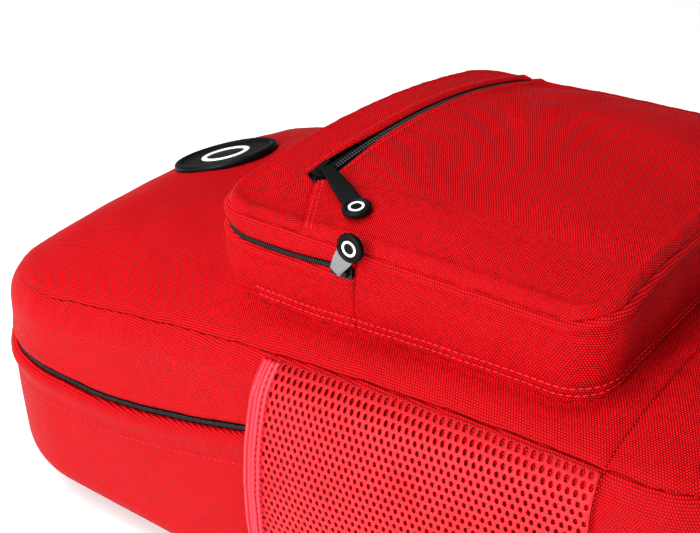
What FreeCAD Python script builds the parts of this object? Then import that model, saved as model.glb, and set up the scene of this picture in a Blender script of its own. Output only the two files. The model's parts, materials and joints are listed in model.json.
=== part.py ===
"""Daypack lying on its back, front up, built as separate sewn panels, zips, straps and hardware.

Millimetres. +X runs from the top of the pack to its base, +Y to the wearer's right,
+Z out of the front. The origin is the centre of the footprint, on the surface it lies on.
"""

import FreeCAD, Part
import math
import os

Vector = FreeCAD.Vector

# ---- driving dimensions of the main compartment ----
TOP_X = -226.0
BASE_X = 233.5
WIDTH = 310.0
TOP_CORNER_RADIUS = 85.0
BASE_CORNER_RADIUS = 45.0
BACK_Z = 14.0
BACK_THICKNESS = 6.0
WALL = 3.0
FRONT_THICKNESS = 4.0
FRONT_Z_AT_BASE = 164.0
FRONT_DROP_TO_TOP = 47.0
FRONT_DROP_LENGTH = 402.0
FRONT_DROP_POWER = 2.0
FRONT_CROWN = 30.0
FRONT_CROWN_AT_BASE = 9.0
CROWN_X = -46.0
CROWN_SPAN_TOP = 172.0
CROWN_SPAN_BASE = 235.0
BASE_SEAM_X = 176.0
BASE_ROLL_X = 196.0
BASE_ROLL_DROP = 30.0

# ---- main zip round the top ----
ZIP_END_X = -6.0
ZIP_Z = 90.0
ZIP_RISE = 20.0
ZIP_RISE_LENGTH = 110.0
TAPE_WIDTH = 8.0
TAPE_INSET = 1.4
TAPE_THICKNESS = 1.4
COIL_WIDTH = 4.0
COIL_HEIGHT = 1.0

# ---- front pocket ----
POCKET_X_LOW = -49.0
POCKET_X_HIGH = 159.0
POCKET_HALF_WIDTH = 124.0
POCKET_CORNER_RADIUS = 22.0
POCKET_EDGE_Z = 207.0
POCKET_CROWN_AT_ENDS = 10.5
POCKET_CROWN_EXTRA = 7.0
POCKET_FACE_THICKNESS = 3.0
POCKET_ZIP_X = -11.0
POCKET_ZIP_WIDTH = 10.0
POCKET_ZIP_Y_NEAR = -90.0
POCKET_ZIP_Y_FAR = 118.0
POCKET_SEAM_END_X = 8.0
SIDE_ZIP_Z = 194.0
SIDE_ZIP_WIDTH = 6.0
SIDE_ZIP_END_X = 38.0

# ---- mesh side pockets ----
MESH_X_MOUTH = 16.0
MESH_BINDING_WIDTH = 10.0
MESH_THICKNESS = 2.0
MESH_BULGE = 11.0
MESH_Z_LOW = 24.0
MESH_FRONT_GAP = 6.0

# ---- sliders and pulls ----
SLIDER_LENGTH = 12.0
SLIDER_WIDTH = 8.0
SLIDER_HEIGHT = 4.2
SLIDER_PLATE = 1.9
SLIDER_CORNER_RADIUS = 2.0
BRIDGE_HALF_LENGTH = 4.3
BRIDGE_HALF_WIDTH = 1.4
BRIDGE_THICKNESS = 1.1
BRIDGE_GAP_HALF_LENGTH = 2.4
SLIDER_CLEARANCE = 0.4
DISC_RADIUS = 6.9
DISC_THICKNESS = 3.4
TAB_WIDTH = 7.6
TAB_THICKNESS = 1.6
MAIN_SLIDER_Y = 12.0
MAIN_PULL_DROP = 24.0
TAB_REACH_INTO_DISC = 2.8

# ---- badge ----
BADGE_X = -151.0
BADGE_RADIUS = 32.0
BADGE_THICKNESS = 3.5
BADGE_SINK = 2.5
BADGE_RING_OUTER = 15.0
BADGE_RING_INNER = 11.5
BADGE_RING_THICKNESS = 0.6

# ---- back pads, straps and handle ----
SPINE_PAD = (-150.0, 96.0, 38.0)
LUMBAR_PAD = (104.0, 196.0, 78.0)
YOKE_PAD = (-210.0, -165.0, 110.0)
PAD_EDGE_RADIUS = 5.0
PAD_CORNER_RADIUS = 16.0
STRAP_HINGE_X = -152.0
STRAP_GAP = 0.6
STRAP_THICKNESS = 12.0
STRAP_END_X = 66.0
STRAP_TOP_Y = 62.0
STRAP_TOP_HALF_WIDTH = 23.0
STRAP_END_Y = 94.0
STRAP_END_HALF_WIDTH = 20.0
STRAP_BOW_Y = 101.0
WEBBING_WIDTH = 25.0
WEBBING_THICKNESS = 1.8
WEBBING_Z = 9.0
ANCHOR_X = 196.0
ANCHOR_Y = 130.0
ANCHOR_HALF_LENGTH = 14.0
ANCHOR_MARGIN = 1.0
ANCHOR_FLARE = 12.0
LOCK_LENGTH = 26.0
LOCK_THICKNESS = 6.5
LOCK_BELOW_WEBBING = 3.0
LOCK_MARGIN = 7.0
LOCK_SLOTS = (6.0, 13.0, 20.0)
LOCK_SLOT_LENGTH = 4.2
HANDLE_HALF_SPAN = 48.0
HANDLE_RISE = 36.0
HANDLE_Z = 20.0
HANDLE_THICKNESS = 5.0
HANDLE_WIDTH = 12.0
HANDLE_STANDOFF = 0.6

# ---- inside ----
SLEEVE_TOP_X = -163.0
SLEEVE_Z = 34.0
SLEEVE_THICKNESS = 5.0
BASE_BOARD_THICKNESS = 2.5

HALF_WIDTH = WIDTH / 2
TALL = 400.0


def rounded_outline(x_low, x_high, half_width, radius_low, radius_high):
    """Closed wire at Z 0: a rectangle with one corner radius at each end."""
    side = half_width
    corners = (
        (x_low + radius_low, side - radius_low, radius_low, 90.0),
        (x_low + radius_low, radius_low - side, radius_low, 180.0),
        (x_high - radius_high, radius_high - side, radius_high, 270.0),
        (x_high - radius_high, side - radius_high, radius_high, 0.0),
    )
    arcs = []
    for centre_x, centre_y, radius, start in corners:
        points = []
        for turn in (0.0, 45.0, 90.0):
            angle = math.radians(start + turn)
            points.append(Vector(centre_x + radius * math.cos(angle), centre_y + radius * math.sin(angle), 0))
        arcs.append(points)
    edges = []
    for arc, following in zip(arcs, arcs[1:] + arcs[:1]):
        edges.append(Part.Arc(*arc).toShape())
        edges.append(Part.LineSegment(arc[2], following[0]).toShape())
    return Part.Wire(edges)


def prism(wire, z_low, z_high):
    face = Part.Face(wire)
    face.translate(Vector(0, 0, z_low))
    return face.extrude(Vector(0, 0, z_high - z_low))


def box(x_low, x_high, y_low, y_high, z_low, z_high):
    return Part.makeBox(x_high - x_low, y_high - y_low, z_high - z_low, Vector(x_low, y_low, z_low))


def pack_prism(inset, z_low=0.0, z_high=TALL):
    """The main compartment's plan shape, inset all round and raised between two heights."""
    wire = rounded_outline(
        TOP_X + inset,
        BASE_X - inset,
        HALF_WIDTH - inset,
        TOP_CORNER_RADIUS - inset,
        BASE_CORNER_RADIUS - inset,
    )
    return prism(wire, z_low, z_high)


def pocket_prism(inset, z_low=0.0, z_high=TALL):
    wire = rounded_outline(
        POCKET_X_LOW + inset,
        POCKET_X_HIGH - inset,
        POCKET_HALF_WIDTH - inset,
        POCKET_CORNER_RADIUS - inset,
        POCKET_CORNER_RADIUS - inset,
    )
    return prism(wire, z_low, z_high)


def sheet_slab(height, depth, x_low, x_high, x_steps, y_reach, y_steps, offset=0.0):
    """Solid under the smooth surface z = height(x, y) + offset, of the given depth."""
    rows = []
    for i in range(x_steps + 1):
        x = x_low + (x_high - x_low) * i / x_steps
        row = []
        for j in range(y_steps + 1):
            y = -y_reach + 2 * y_reach * j / y_steps
            row.append(Vector(x, y, height(x, y) + offset))
        rows.append(row)
    surface = Part.BSplineSurface()
    surface.interpolate(rows)
    return surface.toShape().extrude(Vector(0, 0, -depth))


def front_height(x, y):
    """The front panel: lower at the top of the pack, crowned across its width."""
    fall = max(BASE_SEAM_X - x, 0.0) / FRONT_DROP_LENGTH
    seam = FRONT_Z_AT_BASE - FRONT_DROP_TO_TOP * fall**FRONT_DROP_POWER
    if x < CROWN_X:
        crown = FRONT_CROWN * (1 - ((CROWN_X - x) / CROWN_SPAN_TOP) ** 6)
    else:
        along = (x - CROWN_X) / CROWN_SPAN_BASE
        crown = FRONT_CROWN + (FRONT_CROWN_AT_BASE - FRONT_CROWN) * along**2
    across = 1 - (abs(y) / HALF_WIDTH) ** 2.4
    roll = max(x - BASE_ROLL_X, 0.0) / (BASE_X - BASE_ROLL_X)
    return seam + max(crown, 0.0) * across - BASE_ROLL_DROP * roll**2.5


def pocket_crown(x):
    """How far the pocket's face rises from its long edges to its middle line."""
    middle = (POCKET_X_LOW + POCKET_X_HIGH) / 2
    along = (x - middle) / (POCKET_X_HIGH - middle)
    return POCKET_CROWN_AT_ENDS + POCKET_CROWN_EXTRA * (1 - along**4)


def pocket_height(x, y):
    return POCKET_EDGE_Z + pocket_crown(x) * (1 - (y / POCKET_HALF_WIDTH) ** 2)


# the pocket's top zip follows an arc of this radius across the pack
POCKET_ZIP_RADIUS = POCKET_HALF_WIDTH**2 / (2 * pocket_crown(POCKET_ZIP_X))


def zip_height(x, y):
    """The main zip climbs towards the front as it nears its two ends."""
    rise = max(x - (ZIP_END_X - ZIP_RISE_LENGTH), 0.0) / ZIP_RISE_LENGTH
    return ZIP_Z + ZIP_RISE * rise**1.5


def under_front(offset, depth=TALL):
    return sheet_slab(front_height, depth, TOP_X - 10.0, BASE_X + 10.0, 16, HALF_WIDTH + 10.0, 10, offset)


def under_pocket_face(offset, depth=TALL):
    return sheet_slab(
        pocket_height, depth, POCKET_X_LOW - 6.0, POCKET_X_HIGH + 6.0, 12, POCKET_HALF_WIDTH + 6.0, 10, offset
    )


def under_zip(offset):
    return sheet_slab(zip_height, TALL, TOP_X - 10.0, ZIP_END_X + 10.0, 24, HALF_WIDTH + 10.0, 2, offset)


def pack_ring(inset, thickness):
    return pack_prism(inset).cut(pack_prism(inset + thickness))


def pocket_ring(inset, thickness):
    return pocket_prism(inset).cut(pocket_prism(inset + thickness))


def half_space(x_low, x_high, y_low=-TALL, y_high=TALL, z_low=0.0, z_high=TALL):
    return box(x_low, x_high, y_low, y_high, z_low, z_high)


def top_region():
    """The space round the top of the pack, as far as the ends of the main zip."""
    return half_space(-TALL, ZIP_END_X, z_low=BACK_Z + BACK_THICKNESS)


# ---- main compartment ----
def main_compartment():
    skin = pack_prism(0.0).common(under_front(0.0, FRONT_THICKNESS))
    underside = under_front(-FRONT_THICKNESS)
    wall = pack_ring(0.0, WALL).common(underside)
    side = wall.common(half_space(ZIP_END_X, BASE_SEAM_X, z_low=BACK_Z + BACK_THICKNESS))
    boot_space = half_space(BASE_SEAM_X, TALL, z_low=BACK_Z + BACK_THICKNESS)
    boot = wall.common(boot_space).fuse(skin.common(boot_space)).removeSplitter()
    top_wall = wall.common(top_region())
    half_tape = TAPE_WIDTH / 2
    tape_ring = pack_ring(TAPE_INSET, TAPE_THICKNESS).common(top_region())
    coil_ring = pack_ring(TAPE_INSET - COIL_HEIGHT, COIL_HEIGHT).common(top_region())
    half_coil = COIL_WIDTH / 2
    back = pack_prism(0.0, BACK_Z, BACK_Z + BACK_THICKNESS)
    lower_edges = [edge for edge in back.Edges if edge.BoundBox.ZMax < BACK_Z + 0.01]
    return {
        "front_panel": skin.common(half_space(-TALL, BASE_SEAM_X)),
        "side_wall_left": side.common(half_space(-TALL, TALL, y_high=0.0)),
        "side_wall_right": side.common(half_space(-TALL, TALL, y_low=0.0)),
        "base_panel": boot,
        "rear_gusset": top_wall.common(under_zip(-half_tape)),
        "front_gusset": top_wall.cut(under_zip(half_tape)),
        "main_zip_tape": tape_ring.common(under_zip(half_tape)).cut(under_zip(-half_tape)),
        "main_zip_coil": coil_ring.common(under_zip(half_coil)).cut(under_zip(-half_coil)),
        "back_panel": back.makeFillet(BACK_THICKNESS * 0.7, lower_edges),
    }


# ---- front pocket ----
def pocket_zip_slot(narrow=0.0):
    """The strip of the pocket's face that its zip takes up."""
    half = POCKET_ZIP_WIDTH / 2 - narrow
    return half_space(POCKET_ZIP_X - half, POCKET_ZIP_X + half, POCKET_ZIP_Y_NEAR, POCKET_ZIP_Y_FAR)


def upper_face_region():
    """Everything on the top side of the zip and of the slanted seam at its near end."""
    points = (
        (-TALL, TALL),
        (-TALL, -POCKET_HALF_WIDTH),
        (POCKET_SEAM_END_X, -POCKET_HALF_WIDTH),
        (POCKET_ZIP_X, POCKET_ZIP_Y_NEAR),
        (POCKET_ZIP_X, TALL),
    )
    corners = [Vector(x, y, 0) for x, y in points]
    return prism(Part.makePolygon(corners + corners[:1]), 0.0, TALL)


def front_pocket():
    underside = under_pocket_face(-POCKET_FACE_THICKNESS)
    skin = pocket_prism(0.0).common(under_pocket_face(0.0, POCKET_FACE_THICKNESS))
    face = skin.cut(pocket_zip_slot())
    upper_region = upper_face_region()
    wall = pocket_ring(0.0, WALL).common(underside).cut(under_front(0.0))
    half = SIDE_ZIP_WIDTH / 2
    top_end = half_space(-TALL, SIDE_ZIP_END_X)
    zip_band = half_space(-TALL, SIDE_ZIP_END_X, z_low=SIDE_ZIP_Z - half, z_high=SIDE_ZIP_Z + half)
    tape = pocket_ring(TAPE_INSET, TAPE_THICKNESS).common(zip_band)
    half_coil = COIL_WIDTH / 2
    coil_band = half_space(-TALL, SIDE_ZIP_END_X, z_low=SIDE_ZIP_Z - half_coil, z_high=SIDE_ZIP_Z + half_coil)
    flat_tape = under_pocket_face(-TAPE_INSET, TAPE_THICKNESS)
    flat_coil = under_pocket_face(COIL_HEIGHT - TAPE_INSET, COIL_HEIGHT)
    return {
        "pocket_face_upper": face.common(upper_region),
        "pocket_face_lower": face.cut(upper_region),
        "pocket_zip_tape": pocket_zip_slot().common(flat_tape),
        "pocket_zip_coil": pocket_zip_slot(POCKET_ZIP_WIDTH / 2 - half_coil).common(flat_coil),
        "pocket_gusset_front": wall.common(top_end).common(half_space(-TALL, TALL, z_low=SIDE_ZIP_Z + half)),
        "pocket_gusset_back": wall.common(top_end).common(half_space(-TALL, TALL, z_high=SIDE_ZIP_Z - half)),
        "pocket_wall": wall.cut(top_end),
        "side_zip_tape": tape,
        "side_zip_coil": pocket_ring(TAPE_INSET - COIL_HEIGHT, COIL_HEIGHT).common(coil_band),
    }


# ---- mesh side pockets ----
def mesh_top(x):
    return front_height(x, HALF_WIDTH) - MESH_FRONT_GAP


def mesh_stand_off(x, z):
    """How far the mesh stands away from the side wall: nothing at its three sewn edges."""
    along = (BASE_SEAM_X - x) / (BASE_SEAM_X - MESH_X_MOUTH)
    up = (z - MESH_Z_LOW) / (mesh_top(x) - MESH_Z_LOW)
    bulge = math.sin(math.pi * min(max(up, 0.0), 1.0)) ** 0.8
    return MESH_BULGE * bulge * min(max(along, 0.0), 1.0) ** 0.5


def mesh_panel(x_low, x_high, thickness, side):
    """A curved sheet of the given thickness standing off the side wall; side is -1 or 1."""
    rows = []
    for i in range(13):
        x = x_low + (x_high - x_low) * i / 12
        row = []
        for j in range(15):
            z = MESH_Z_LOW + (mesh_top(x) - MESH_Z_LOW) * j / 14
            row.append(Vector(x, side * (HALF_WIDTH + mesh_stand_off(x, z)), z))
        rows.append(row)
    surface = Part.BSplineSurface()
    surface.interpolate(rows)
    return surface.toShape().extrude(Vector(0, side * thickness, 0))


def mesh_pockets():
    parts = {}
    mouth_end = MESH_X_MOUTH - MESH_BINDING_WIDTH
    for side, name in ((-1, "left"), (1, "right")):
        parts["mesh_pocket_" + name] = mesh_panel(MESH_X_MOUTH, BASE_SEAM_X, MESH_THICKNESS, side)
        parts["mesh_binding_" + name] = mesh_panel(mouth_end, MESH_X_MOUTH, MESH_THICKNESS + 0.8, side)
    return parts


# ---- sliders and pulls ----
def slider(centre, along, out):
    """A zip slider: a rounded block with a bridge over it, out from the zip and along it."""
    across = along.cross(out)
    frame = FreeCAD.Placement(centre, FreeCAD.Rotation(along, across, out, "XZY"))
    half_length = SLIDER_LENGTH / 2
    body = box(-half_length, half_length, -SLIDER_WIDTH / 2, SLIDER_WIDTH / 2, 0.0, SLIDER_PLATE)
    upright = [edge for edge in body.Edges if edge.BoundBox.ZLength > SLIDER_PLATE / 2]
    body = body.makeFillet(SLIDER_CORNER_RADIUS, upright)
    bridge = box(
        -BRIDGE_HALF_LENGTH, BRIDGE_HALF_LENGTH, -BRIDGE_HALF_WIDTH, BRIDGE_HALF_WIDTH, 0.0, SLIDER_HEIGHT
    )
    gap = box(
        -BRIDGE_GAP_HALF_LENGTH,
        BRIDGE_GAP_HALF_LENGTH,
        -SLIDER_WIDTH,
        SLIDER_WIDTH,
        SLIDER_PLATE,
        SLIDER_HEIGHT - BRIDGE_THICKNESS,
    )
    shape = body.fuse(bridge.cut(gap)).removeSplitter()
    shape.Placement = frame
    return shape


def pull_tab(start, centre, out):
    """A flat tab from the slider to the disc, lying square to out."""
    direction = centre - start
    length = direction.Length - DISC_RADIUS + TAB_REACH_INTO_DISC
    direction.normalize()
    across = out.cross(direction)
    frame = FreeCAD.Placement(start, FreeCAD.Rotation(direction, across, out, "XZY"))
    tab = box(0.0, length, -TAB_WIDTH / 2, TAB_WIDTH / 2, -TAB_THICKNESS / 2, TAB_THICKNESS / 2)
    tab.Placement = frame
    return tab


def pull_disc(centre, out):
    foot = centre - out * (DISC_THICKNESS / 2)
    return Part.makeCylinder(DISC_RADIUS, DISC_THICKNESS, foot, out)


def square_to(direction, out):
    """out, turned until it is square to direction, at unit length."""
    flat = out - direction * (out.dot(direction) / direction.dot(direction))
    flat.normalize()
    return flat


# start of the tab, centre of the disc, and the way the disc faces, for each pull
POCKET_PULL = (Vector(-7.2, -86.4, 220.8), Vector(27.0, -108.0, 216.4), Vector(0.32, -0.42, 0.85))
SIDE_PULL = (Vector(32.0, -130.4, 195.5), Vector(40.5, -130.8, 209.5), Vector(0.25, -0.88, 0.40))


def pull_parts(name, start, centre, facing):
    out = square_to(centre - start, facing)
    tab = pull_tab(start, centre, out)
    disc = pull_disc(centre, out)
    return {name + "_pull": tab.cut(disc), name + "_pull_disc": disc}


def zip_pulls():
    parts = {}
    near = POCKET_ZIP_Y_NEAR + SLIDER_LENGTH / 2 + 1.0
    lean = math.asin(near / POCKET_ZIP_RADIUS)
    along = Vector(0, math.cos(lean), -math.sin(lean))
    out = Vector(0, math.sin(lean), math.cos(lean))
    arc_centre = Vector(POCKET_ZIP_X, 0, pocket_height(POCKET_ZIP_X, 0.0) - POCKET_ZIP_RADIUS)
    parts["pocket_slider"] = slider(arc_centre + out * (POCKET_ZIP_RADIUS + SLIDER_CLEARANCE), along, out)
    parts.update(pull_parts("pocket", *POCKET_PULL))
    wall_y = -POCKET_HALF_WIDTH - SLIDER_CLEARANCE
    parts["side_slider"] = slider(
        Vector(SIDE_ZIP_END_X - SLIDER_LENGTH / 2, wall_y, SIDE_ZIP_Z), Vector(1, 0, 0), Vector(0, -1, 0)
    )
    parts.update(pull_parts("side", *SIDE_PULL))
    top_x = TOP_X - SLIDER_CLEARANCE
    bridge_x = top_x - SLIDER_HEIGHT - SLIDER_CLEARANCE - TAB_THICKNESS / 2
    for side, name in ((-1, "left"), (1, "right")):
        y = side * MAIN_SLIDER_Y
        parts["main_slider_" + name] = slider(Vector(top_x, y, ZIP_Z), Vector(0, side, 0), Vector(-1, 0, 0))
        start = Vector(bridge_x, y, ZIP_Z)
        end = Vector(bridge_x, y, ZIP_Z - MAIN_PULL_DROP)
        parts.update(pull_parts("main_" + name, start, end, Vector(-1, 0, 0)))
    return parts


# ---- badge ----
def badge():
    step = 1.0
    slope = (front_height(BADGE_X + step, 0.0) - front_height(BADGE_X - step, 0.0)) / (2 * step)
    out = Vector(-slope, 0, 1)
    out.normalize()
    foot = Vector(BADGE_X, 0, front_height(BADGE_X, 0.0)) - out * BADGE_SINK
    disc = Part.makeCylinder(BADGE_RADIUS, BADGE_THICKNESS + BADGE_SINK, foot, out).cut(under_front(0.0))
    top = foot + out * (BADGE_THICKNESS + BADGE_SINK)
    ring = Part.makeCylinder(BADGE_RING_OUTER, BADGE_RING_THICKNESS, top, out)
    hole = Part.makeCylinder(BADGE_RING_INNER, BADGE_RING_THICKNESS, top, out)
    return {"badge": disc, "badge_ring": ring.cut(hole)}


# ---- back pads, shoulder straps and handle ----
def back_pad(x_low, x_high, half_width):
    pad = prism(rounded_outline(x_low, x_high, half_width, PAD_CORNER_RADIUS, PAD_CORNER_RADIUS), 0.0, BACK_Z)
    lower_edges = [edge for edge in pad.Edges if edge.BoundBox.ZMax < 0.01]
    return pad.makeFillet(PAD_EDGE_RADIUS, lower_edges)


def strap_plan(side):
    """The strap's plan outline, bowing outwards from the yoke to the ladder lock."""
    middle_x = (STRAP_HINGE_X + STRAP_END_X) / 2
    half = (STRAP_TOP_HALF_WIDTH + STRAP_END_HALF_WIDTH) / 2
    inner_top = Vector(STRAP_HINGE_X, side * (STRAP_TOP_Y - STRAP_TOP_HALF_WIDTH), 0)
    inner_bow = Vector(middle_x, side * (STRAP_BOW_Y - half), 0)
    inner_end = Vector(STRAP_END_X, side * (STRAP_END_Y - STRAP_END_HALF_WIDTH), 0)
    outer_end = Vector(STRAP_END_X, side * (STRAP_END_Y + STRAP_END_HALF_WIDTH), 0)
    outer_bow = Vector(middle_x, side * (STRAP_BOW_Y + half), 0)
    outer_top = Vector(STRAP_HINGE_X, side * (STRAP_TOP_Y + STRAP_TOP_HALF_WIDTH), 0)
    edges = [
        Part.Arc(inner_top, inner_bow, inner_end).toShape(),
        Part.LineSegment(inner_end, outer_end).toShape(),
        Part.Arc(outer_end, outer_bow, outer_top).toShape(),
        Part.LineSegment(outer_top, inner_top).toShape(),
    ]
    return Part.Wire(edges)


def webbing_strip(start, end, z_low, thickness, width=WEBBING_WIDTH):
    """A flat strip between two plan points."""
    direction = end - start
    length = direction.Length
    direction.normalize()
    frame = FreeCAD.Placement(start, FreeCAD.Rotation(Vector(1, 0, 0), direction))
    strip = box(0.0, length, -width / 2, width / 2, z_low, z_low + thickness)
    strip.Placement = frame
    return strip


def shoulder_straps():
    parts = {}
    z_low = (BACK_Z - STRAP_THICKNESS) / 2
    for side, name in ((-1, "left"), (1, "right")):
        strap = prism(strap_plan(side), z_low, z_low + STRAP_THICKNESS)
        lock_start = Vector(STRAP_END_X + STRAP_GAP, side * STRAP_END_Y, 0)
        anchor = Vector(ANCHOR_X, side * ANCHOR_Y, 0)
        direction = anchor - lock_start
        direction.normalize()
        lock_end = lock_start + direction * LOCK_LENGTH
        lock_z = WEBBING_Z - LOCK_BELOW_WEBBING
        lock = webbing_strip(lock_start, lock_end, lock_z, LOCK_THICKNESS, WEBBING_WIDTH + LOCK_MARGIN)
        for at in LOCK_SLOTS:
            slot_start = lock_start + direction * at
            slot_end = slot_start + direction * LOCK_SLOT_LENGTH
            lock = lock.cut(webbing_strip(slot_start, slot_end, 0.0, TALL, WEBBING_WIDTH + STRAP_GAP))
        strap_face = box(-TALL, STRAP_END_X + STRAP_GAP, -TALL, TALL, 0.0, TALL)
        web_start = lock_end + direction * STRAP_GAP
        parts["shoulder_strap_" + name] = strap
        parts["ladder_lock_" + name] = lock.cut(strap_face)
        parts["strap_webbing_" + name] = webbing_strip(web_start, anchor, WEBBING_Z, WEBBING_THICKNESS)
        parts["anchor_tab_" + name] = anchor_tab(anchor, direction, side)
    return parts


def anchor_tab(anchor, direction, side):
    """The folded triangle of fabric that holds the webbing at the pack's lower corner."""
    across = Vector(-direction.y, direction.x, 0)
    tip = anchor - direction * ANCHOR_HALF_LENGTH
    base = anchor + direction * ANCHOR_HALF_LENGTH
    tip_half = WEBBING_WIDTH / 2 + ANCHOR_MARGIN
    base_half = WEBBING_WIDTH / 2 + ANCHOR_FLARE
    points = [
        tip + across * tip_half,
        tip - across * tip_half,
        base - across * base_half,
        base + across * base_half,
    ]
    tab = prism(Part.makePolygon(points + points[:1]), WEBBING_Z + WEBBING_THICKNESS, BACK_Z)
    return tab.common(pack_prism(4.0))


def grab_handle():
    """A folded webbing loop hugging the top wall, sewn at both ends into the back seam."""
    outer = HANDLE_HALF_SPAN
    inner = HANDLE_HALF_SPAN - HANDLE_WIDTH
    rise = HANDLE_RISE
    inner_rise = HANDLE_RISE - HANDLE_WIDTH

    def arch(half_span, height):
        left = Vector(0, -half_span, 0)
        crown = Vector(0, 0, height)
        right = Vector(0, half_span, 0)
        return Part.Face(Part.Wire([Part.Arc(left, crown, right).toShape(), Part.makeLine(right, left)]))

    loop = arch(outer, rise).cut(arch(inner, inner_rise)).extrude(Vector(-HANDLE_THICKNESS, 0, 0))
    loop.translate(Vector(TOP_X - HANDLE_STANDOFF, 0, HANDLE_Z))
    return loop


def back_and_straps():
    parts = {
        "spine_pad": back_pad(*SPINE_PAD),
        "lumbar_pad": back_pad(*LUMBAR_PAD),
        "yoke_pad": back_pad(*YOKE_PAD),
        "grab_handle": grab_handle(),
    }
    parts.update(shoulder_straps())
    return parts


# ---- inside the pack ----
def inside_pieces():
    gap = WALL + 1.0
    sleeve = pack_prism(gap, SLEEVE_Z, SLEEVE_Z + SLEEVE_THICKNESS)
    floor = BACK_Z + BACK_THICKNESS + 1.0
    board_x = BASE_X - gap - BASE_BOARD_THICKNESS
    board_reach = HALF_WIDTH - BASE_CORNER_RADIUS
    upper = FRONT_Z_AT_BASE - BASE_ROLL_DROP - 12.0
    board = box(board_x, board_x + BASE_BOARD_THICKNESS, -board_reach, board_reach, floor, upper)
    return {
        "laptop_sleeve": sleeve.common(half_space(SLEEVE_TOP_X, board_x - 1.0)),
        "base_board": board,
    }


def write(parts):
    os.makedirs("parts", exist_ok=True)
    for name, shape in sorted(parts.items()):
        solids = shape.Solids
        if len(solids) != 1 or not solids[0].isValid():
            raise ValueError("%s is not one valid solid: %d" % (name, len(solids)))
        solids[0].exportStep("parts/%s.step" % name)
    print("%d parts written" % len(parts))


all_parts = {}
for group in (main_compartment, front_pocket, mesh_pockets, zip_pulls, badge, back_and_straps, inside_pieces):
    all_parts.update(group())
write(all_parts)
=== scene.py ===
import json
import math

import bpy
import numpy as np
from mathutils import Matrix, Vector


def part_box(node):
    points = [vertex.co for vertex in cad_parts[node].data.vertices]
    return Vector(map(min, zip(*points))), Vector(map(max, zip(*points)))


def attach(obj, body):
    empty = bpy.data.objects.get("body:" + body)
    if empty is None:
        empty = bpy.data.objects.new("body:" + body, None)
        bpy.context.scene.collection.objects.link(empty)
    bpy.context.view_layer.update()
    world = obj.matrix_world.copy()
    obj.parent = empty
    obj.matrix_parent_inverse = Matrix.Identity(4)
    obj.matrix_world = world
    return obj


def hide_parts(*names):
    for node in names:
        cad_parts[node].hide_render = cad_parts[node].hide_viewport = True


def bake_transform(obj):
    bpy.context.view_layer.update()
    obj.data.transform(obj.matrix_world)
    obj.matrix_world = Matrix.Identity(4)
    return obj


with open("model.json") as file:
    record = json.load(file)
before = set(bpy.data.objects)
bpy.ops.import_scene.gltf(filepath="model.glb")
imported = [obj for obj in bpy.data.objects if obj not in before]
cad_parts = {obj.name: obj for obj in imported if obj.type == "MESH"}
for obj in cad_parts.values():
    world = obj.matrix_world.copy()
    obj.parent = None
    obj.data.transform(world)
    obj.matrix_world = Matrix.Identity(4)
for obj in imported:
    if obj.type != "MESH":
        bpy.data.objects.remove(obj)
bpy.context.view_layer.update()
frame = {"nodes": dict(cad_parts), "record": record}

# Lengths are in millimetres until a mesh is made, and MM turns them into metres.
MM = 0.001
# The least share of its own length and width that a cut sheet is taken to cover.
LEAST_AREA_SHARE = 0.31
RED_THICKNESS = 1.4
TAPE_THICKNESS = 0.6


def node_box(node):
    low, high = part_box(node)
    return np.array(low) / MM, np.array(high) / MM


def node_points(node):
    return np.array([vertex.co for vertex in frame["nodes"][node].data.vertices]) / MM


# ---- places read from the CAD model ----
BACK_LOW, BACK_HIGH = node_box("back_panel")
_, POCKET_WALL_HIGH = node_box("pocket_wall")
POCKET_GUSSET_LOW, POCKET_GUSSET_HIGH = node_box("pocket_gusset_back")
BINDING_LOW, BINDING_HIGH = node_box("mesh_binding_left")
SLEEVE_LOW, SLEEVE_HIGH = node_box("laptop_sleeve")
POCKET_ZIP_LOW, POCKET_ZIP_HIGH = node_box("pocket_zip_tape")
SIDE_TAPE_LOW, SIDE_TAPE_HIGH = node_box("side_zip_tape")
SIDE_ZIP_MIDDLE = (SIDE_TAPE_LOW[2] + SIDE_TAPE_HIGH[2]) / 2
JOINTS = {joint["name"]: joint for joint in frame["record"]["behaviour"]["joints"]}

# ---- main compartment ----
TOP_RADIUS = 85.0
BASE_RADIUS = 45.0
SEAM_INSET = 7.0
SEAM_TUCK = 1.2
SEAM_Z_AT_BASE = 165.0
SEAM_DROP = 47.0
SEAM_DROP_LENGTH = 402.0
CROWN = 32.0
CROWN_AT_BASE = 12.0
CROWN_X = -46.0
CROWN_TOP_LENGTH = 173.0
BASE_SEAM_X = 175.0
BASE_ROLL_X = 196.0
BASE_ROLL_DROP = 30.0
LOWER_CURL = 14.0
ZIP_Z = 90.0
ZIP_RISE = 20.0
ZIP_RISE_START = -116.0
ZIP_RISE_LENGTH = 110.0
ZIP_HIDDEN_X = 11.0
ZIP_SLIT = 1.7
GUSSET_STITCH_DROP = 20.0
LIP = 2.6
FRONT_LIP = 0.6
LIP_FOLD = 3.4
LIP_WAVE = 0.35
REAR_GUSSET_HEIGHT = 70.0
FRONT_GUSSET_HEIGHT = 45.0

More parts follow.
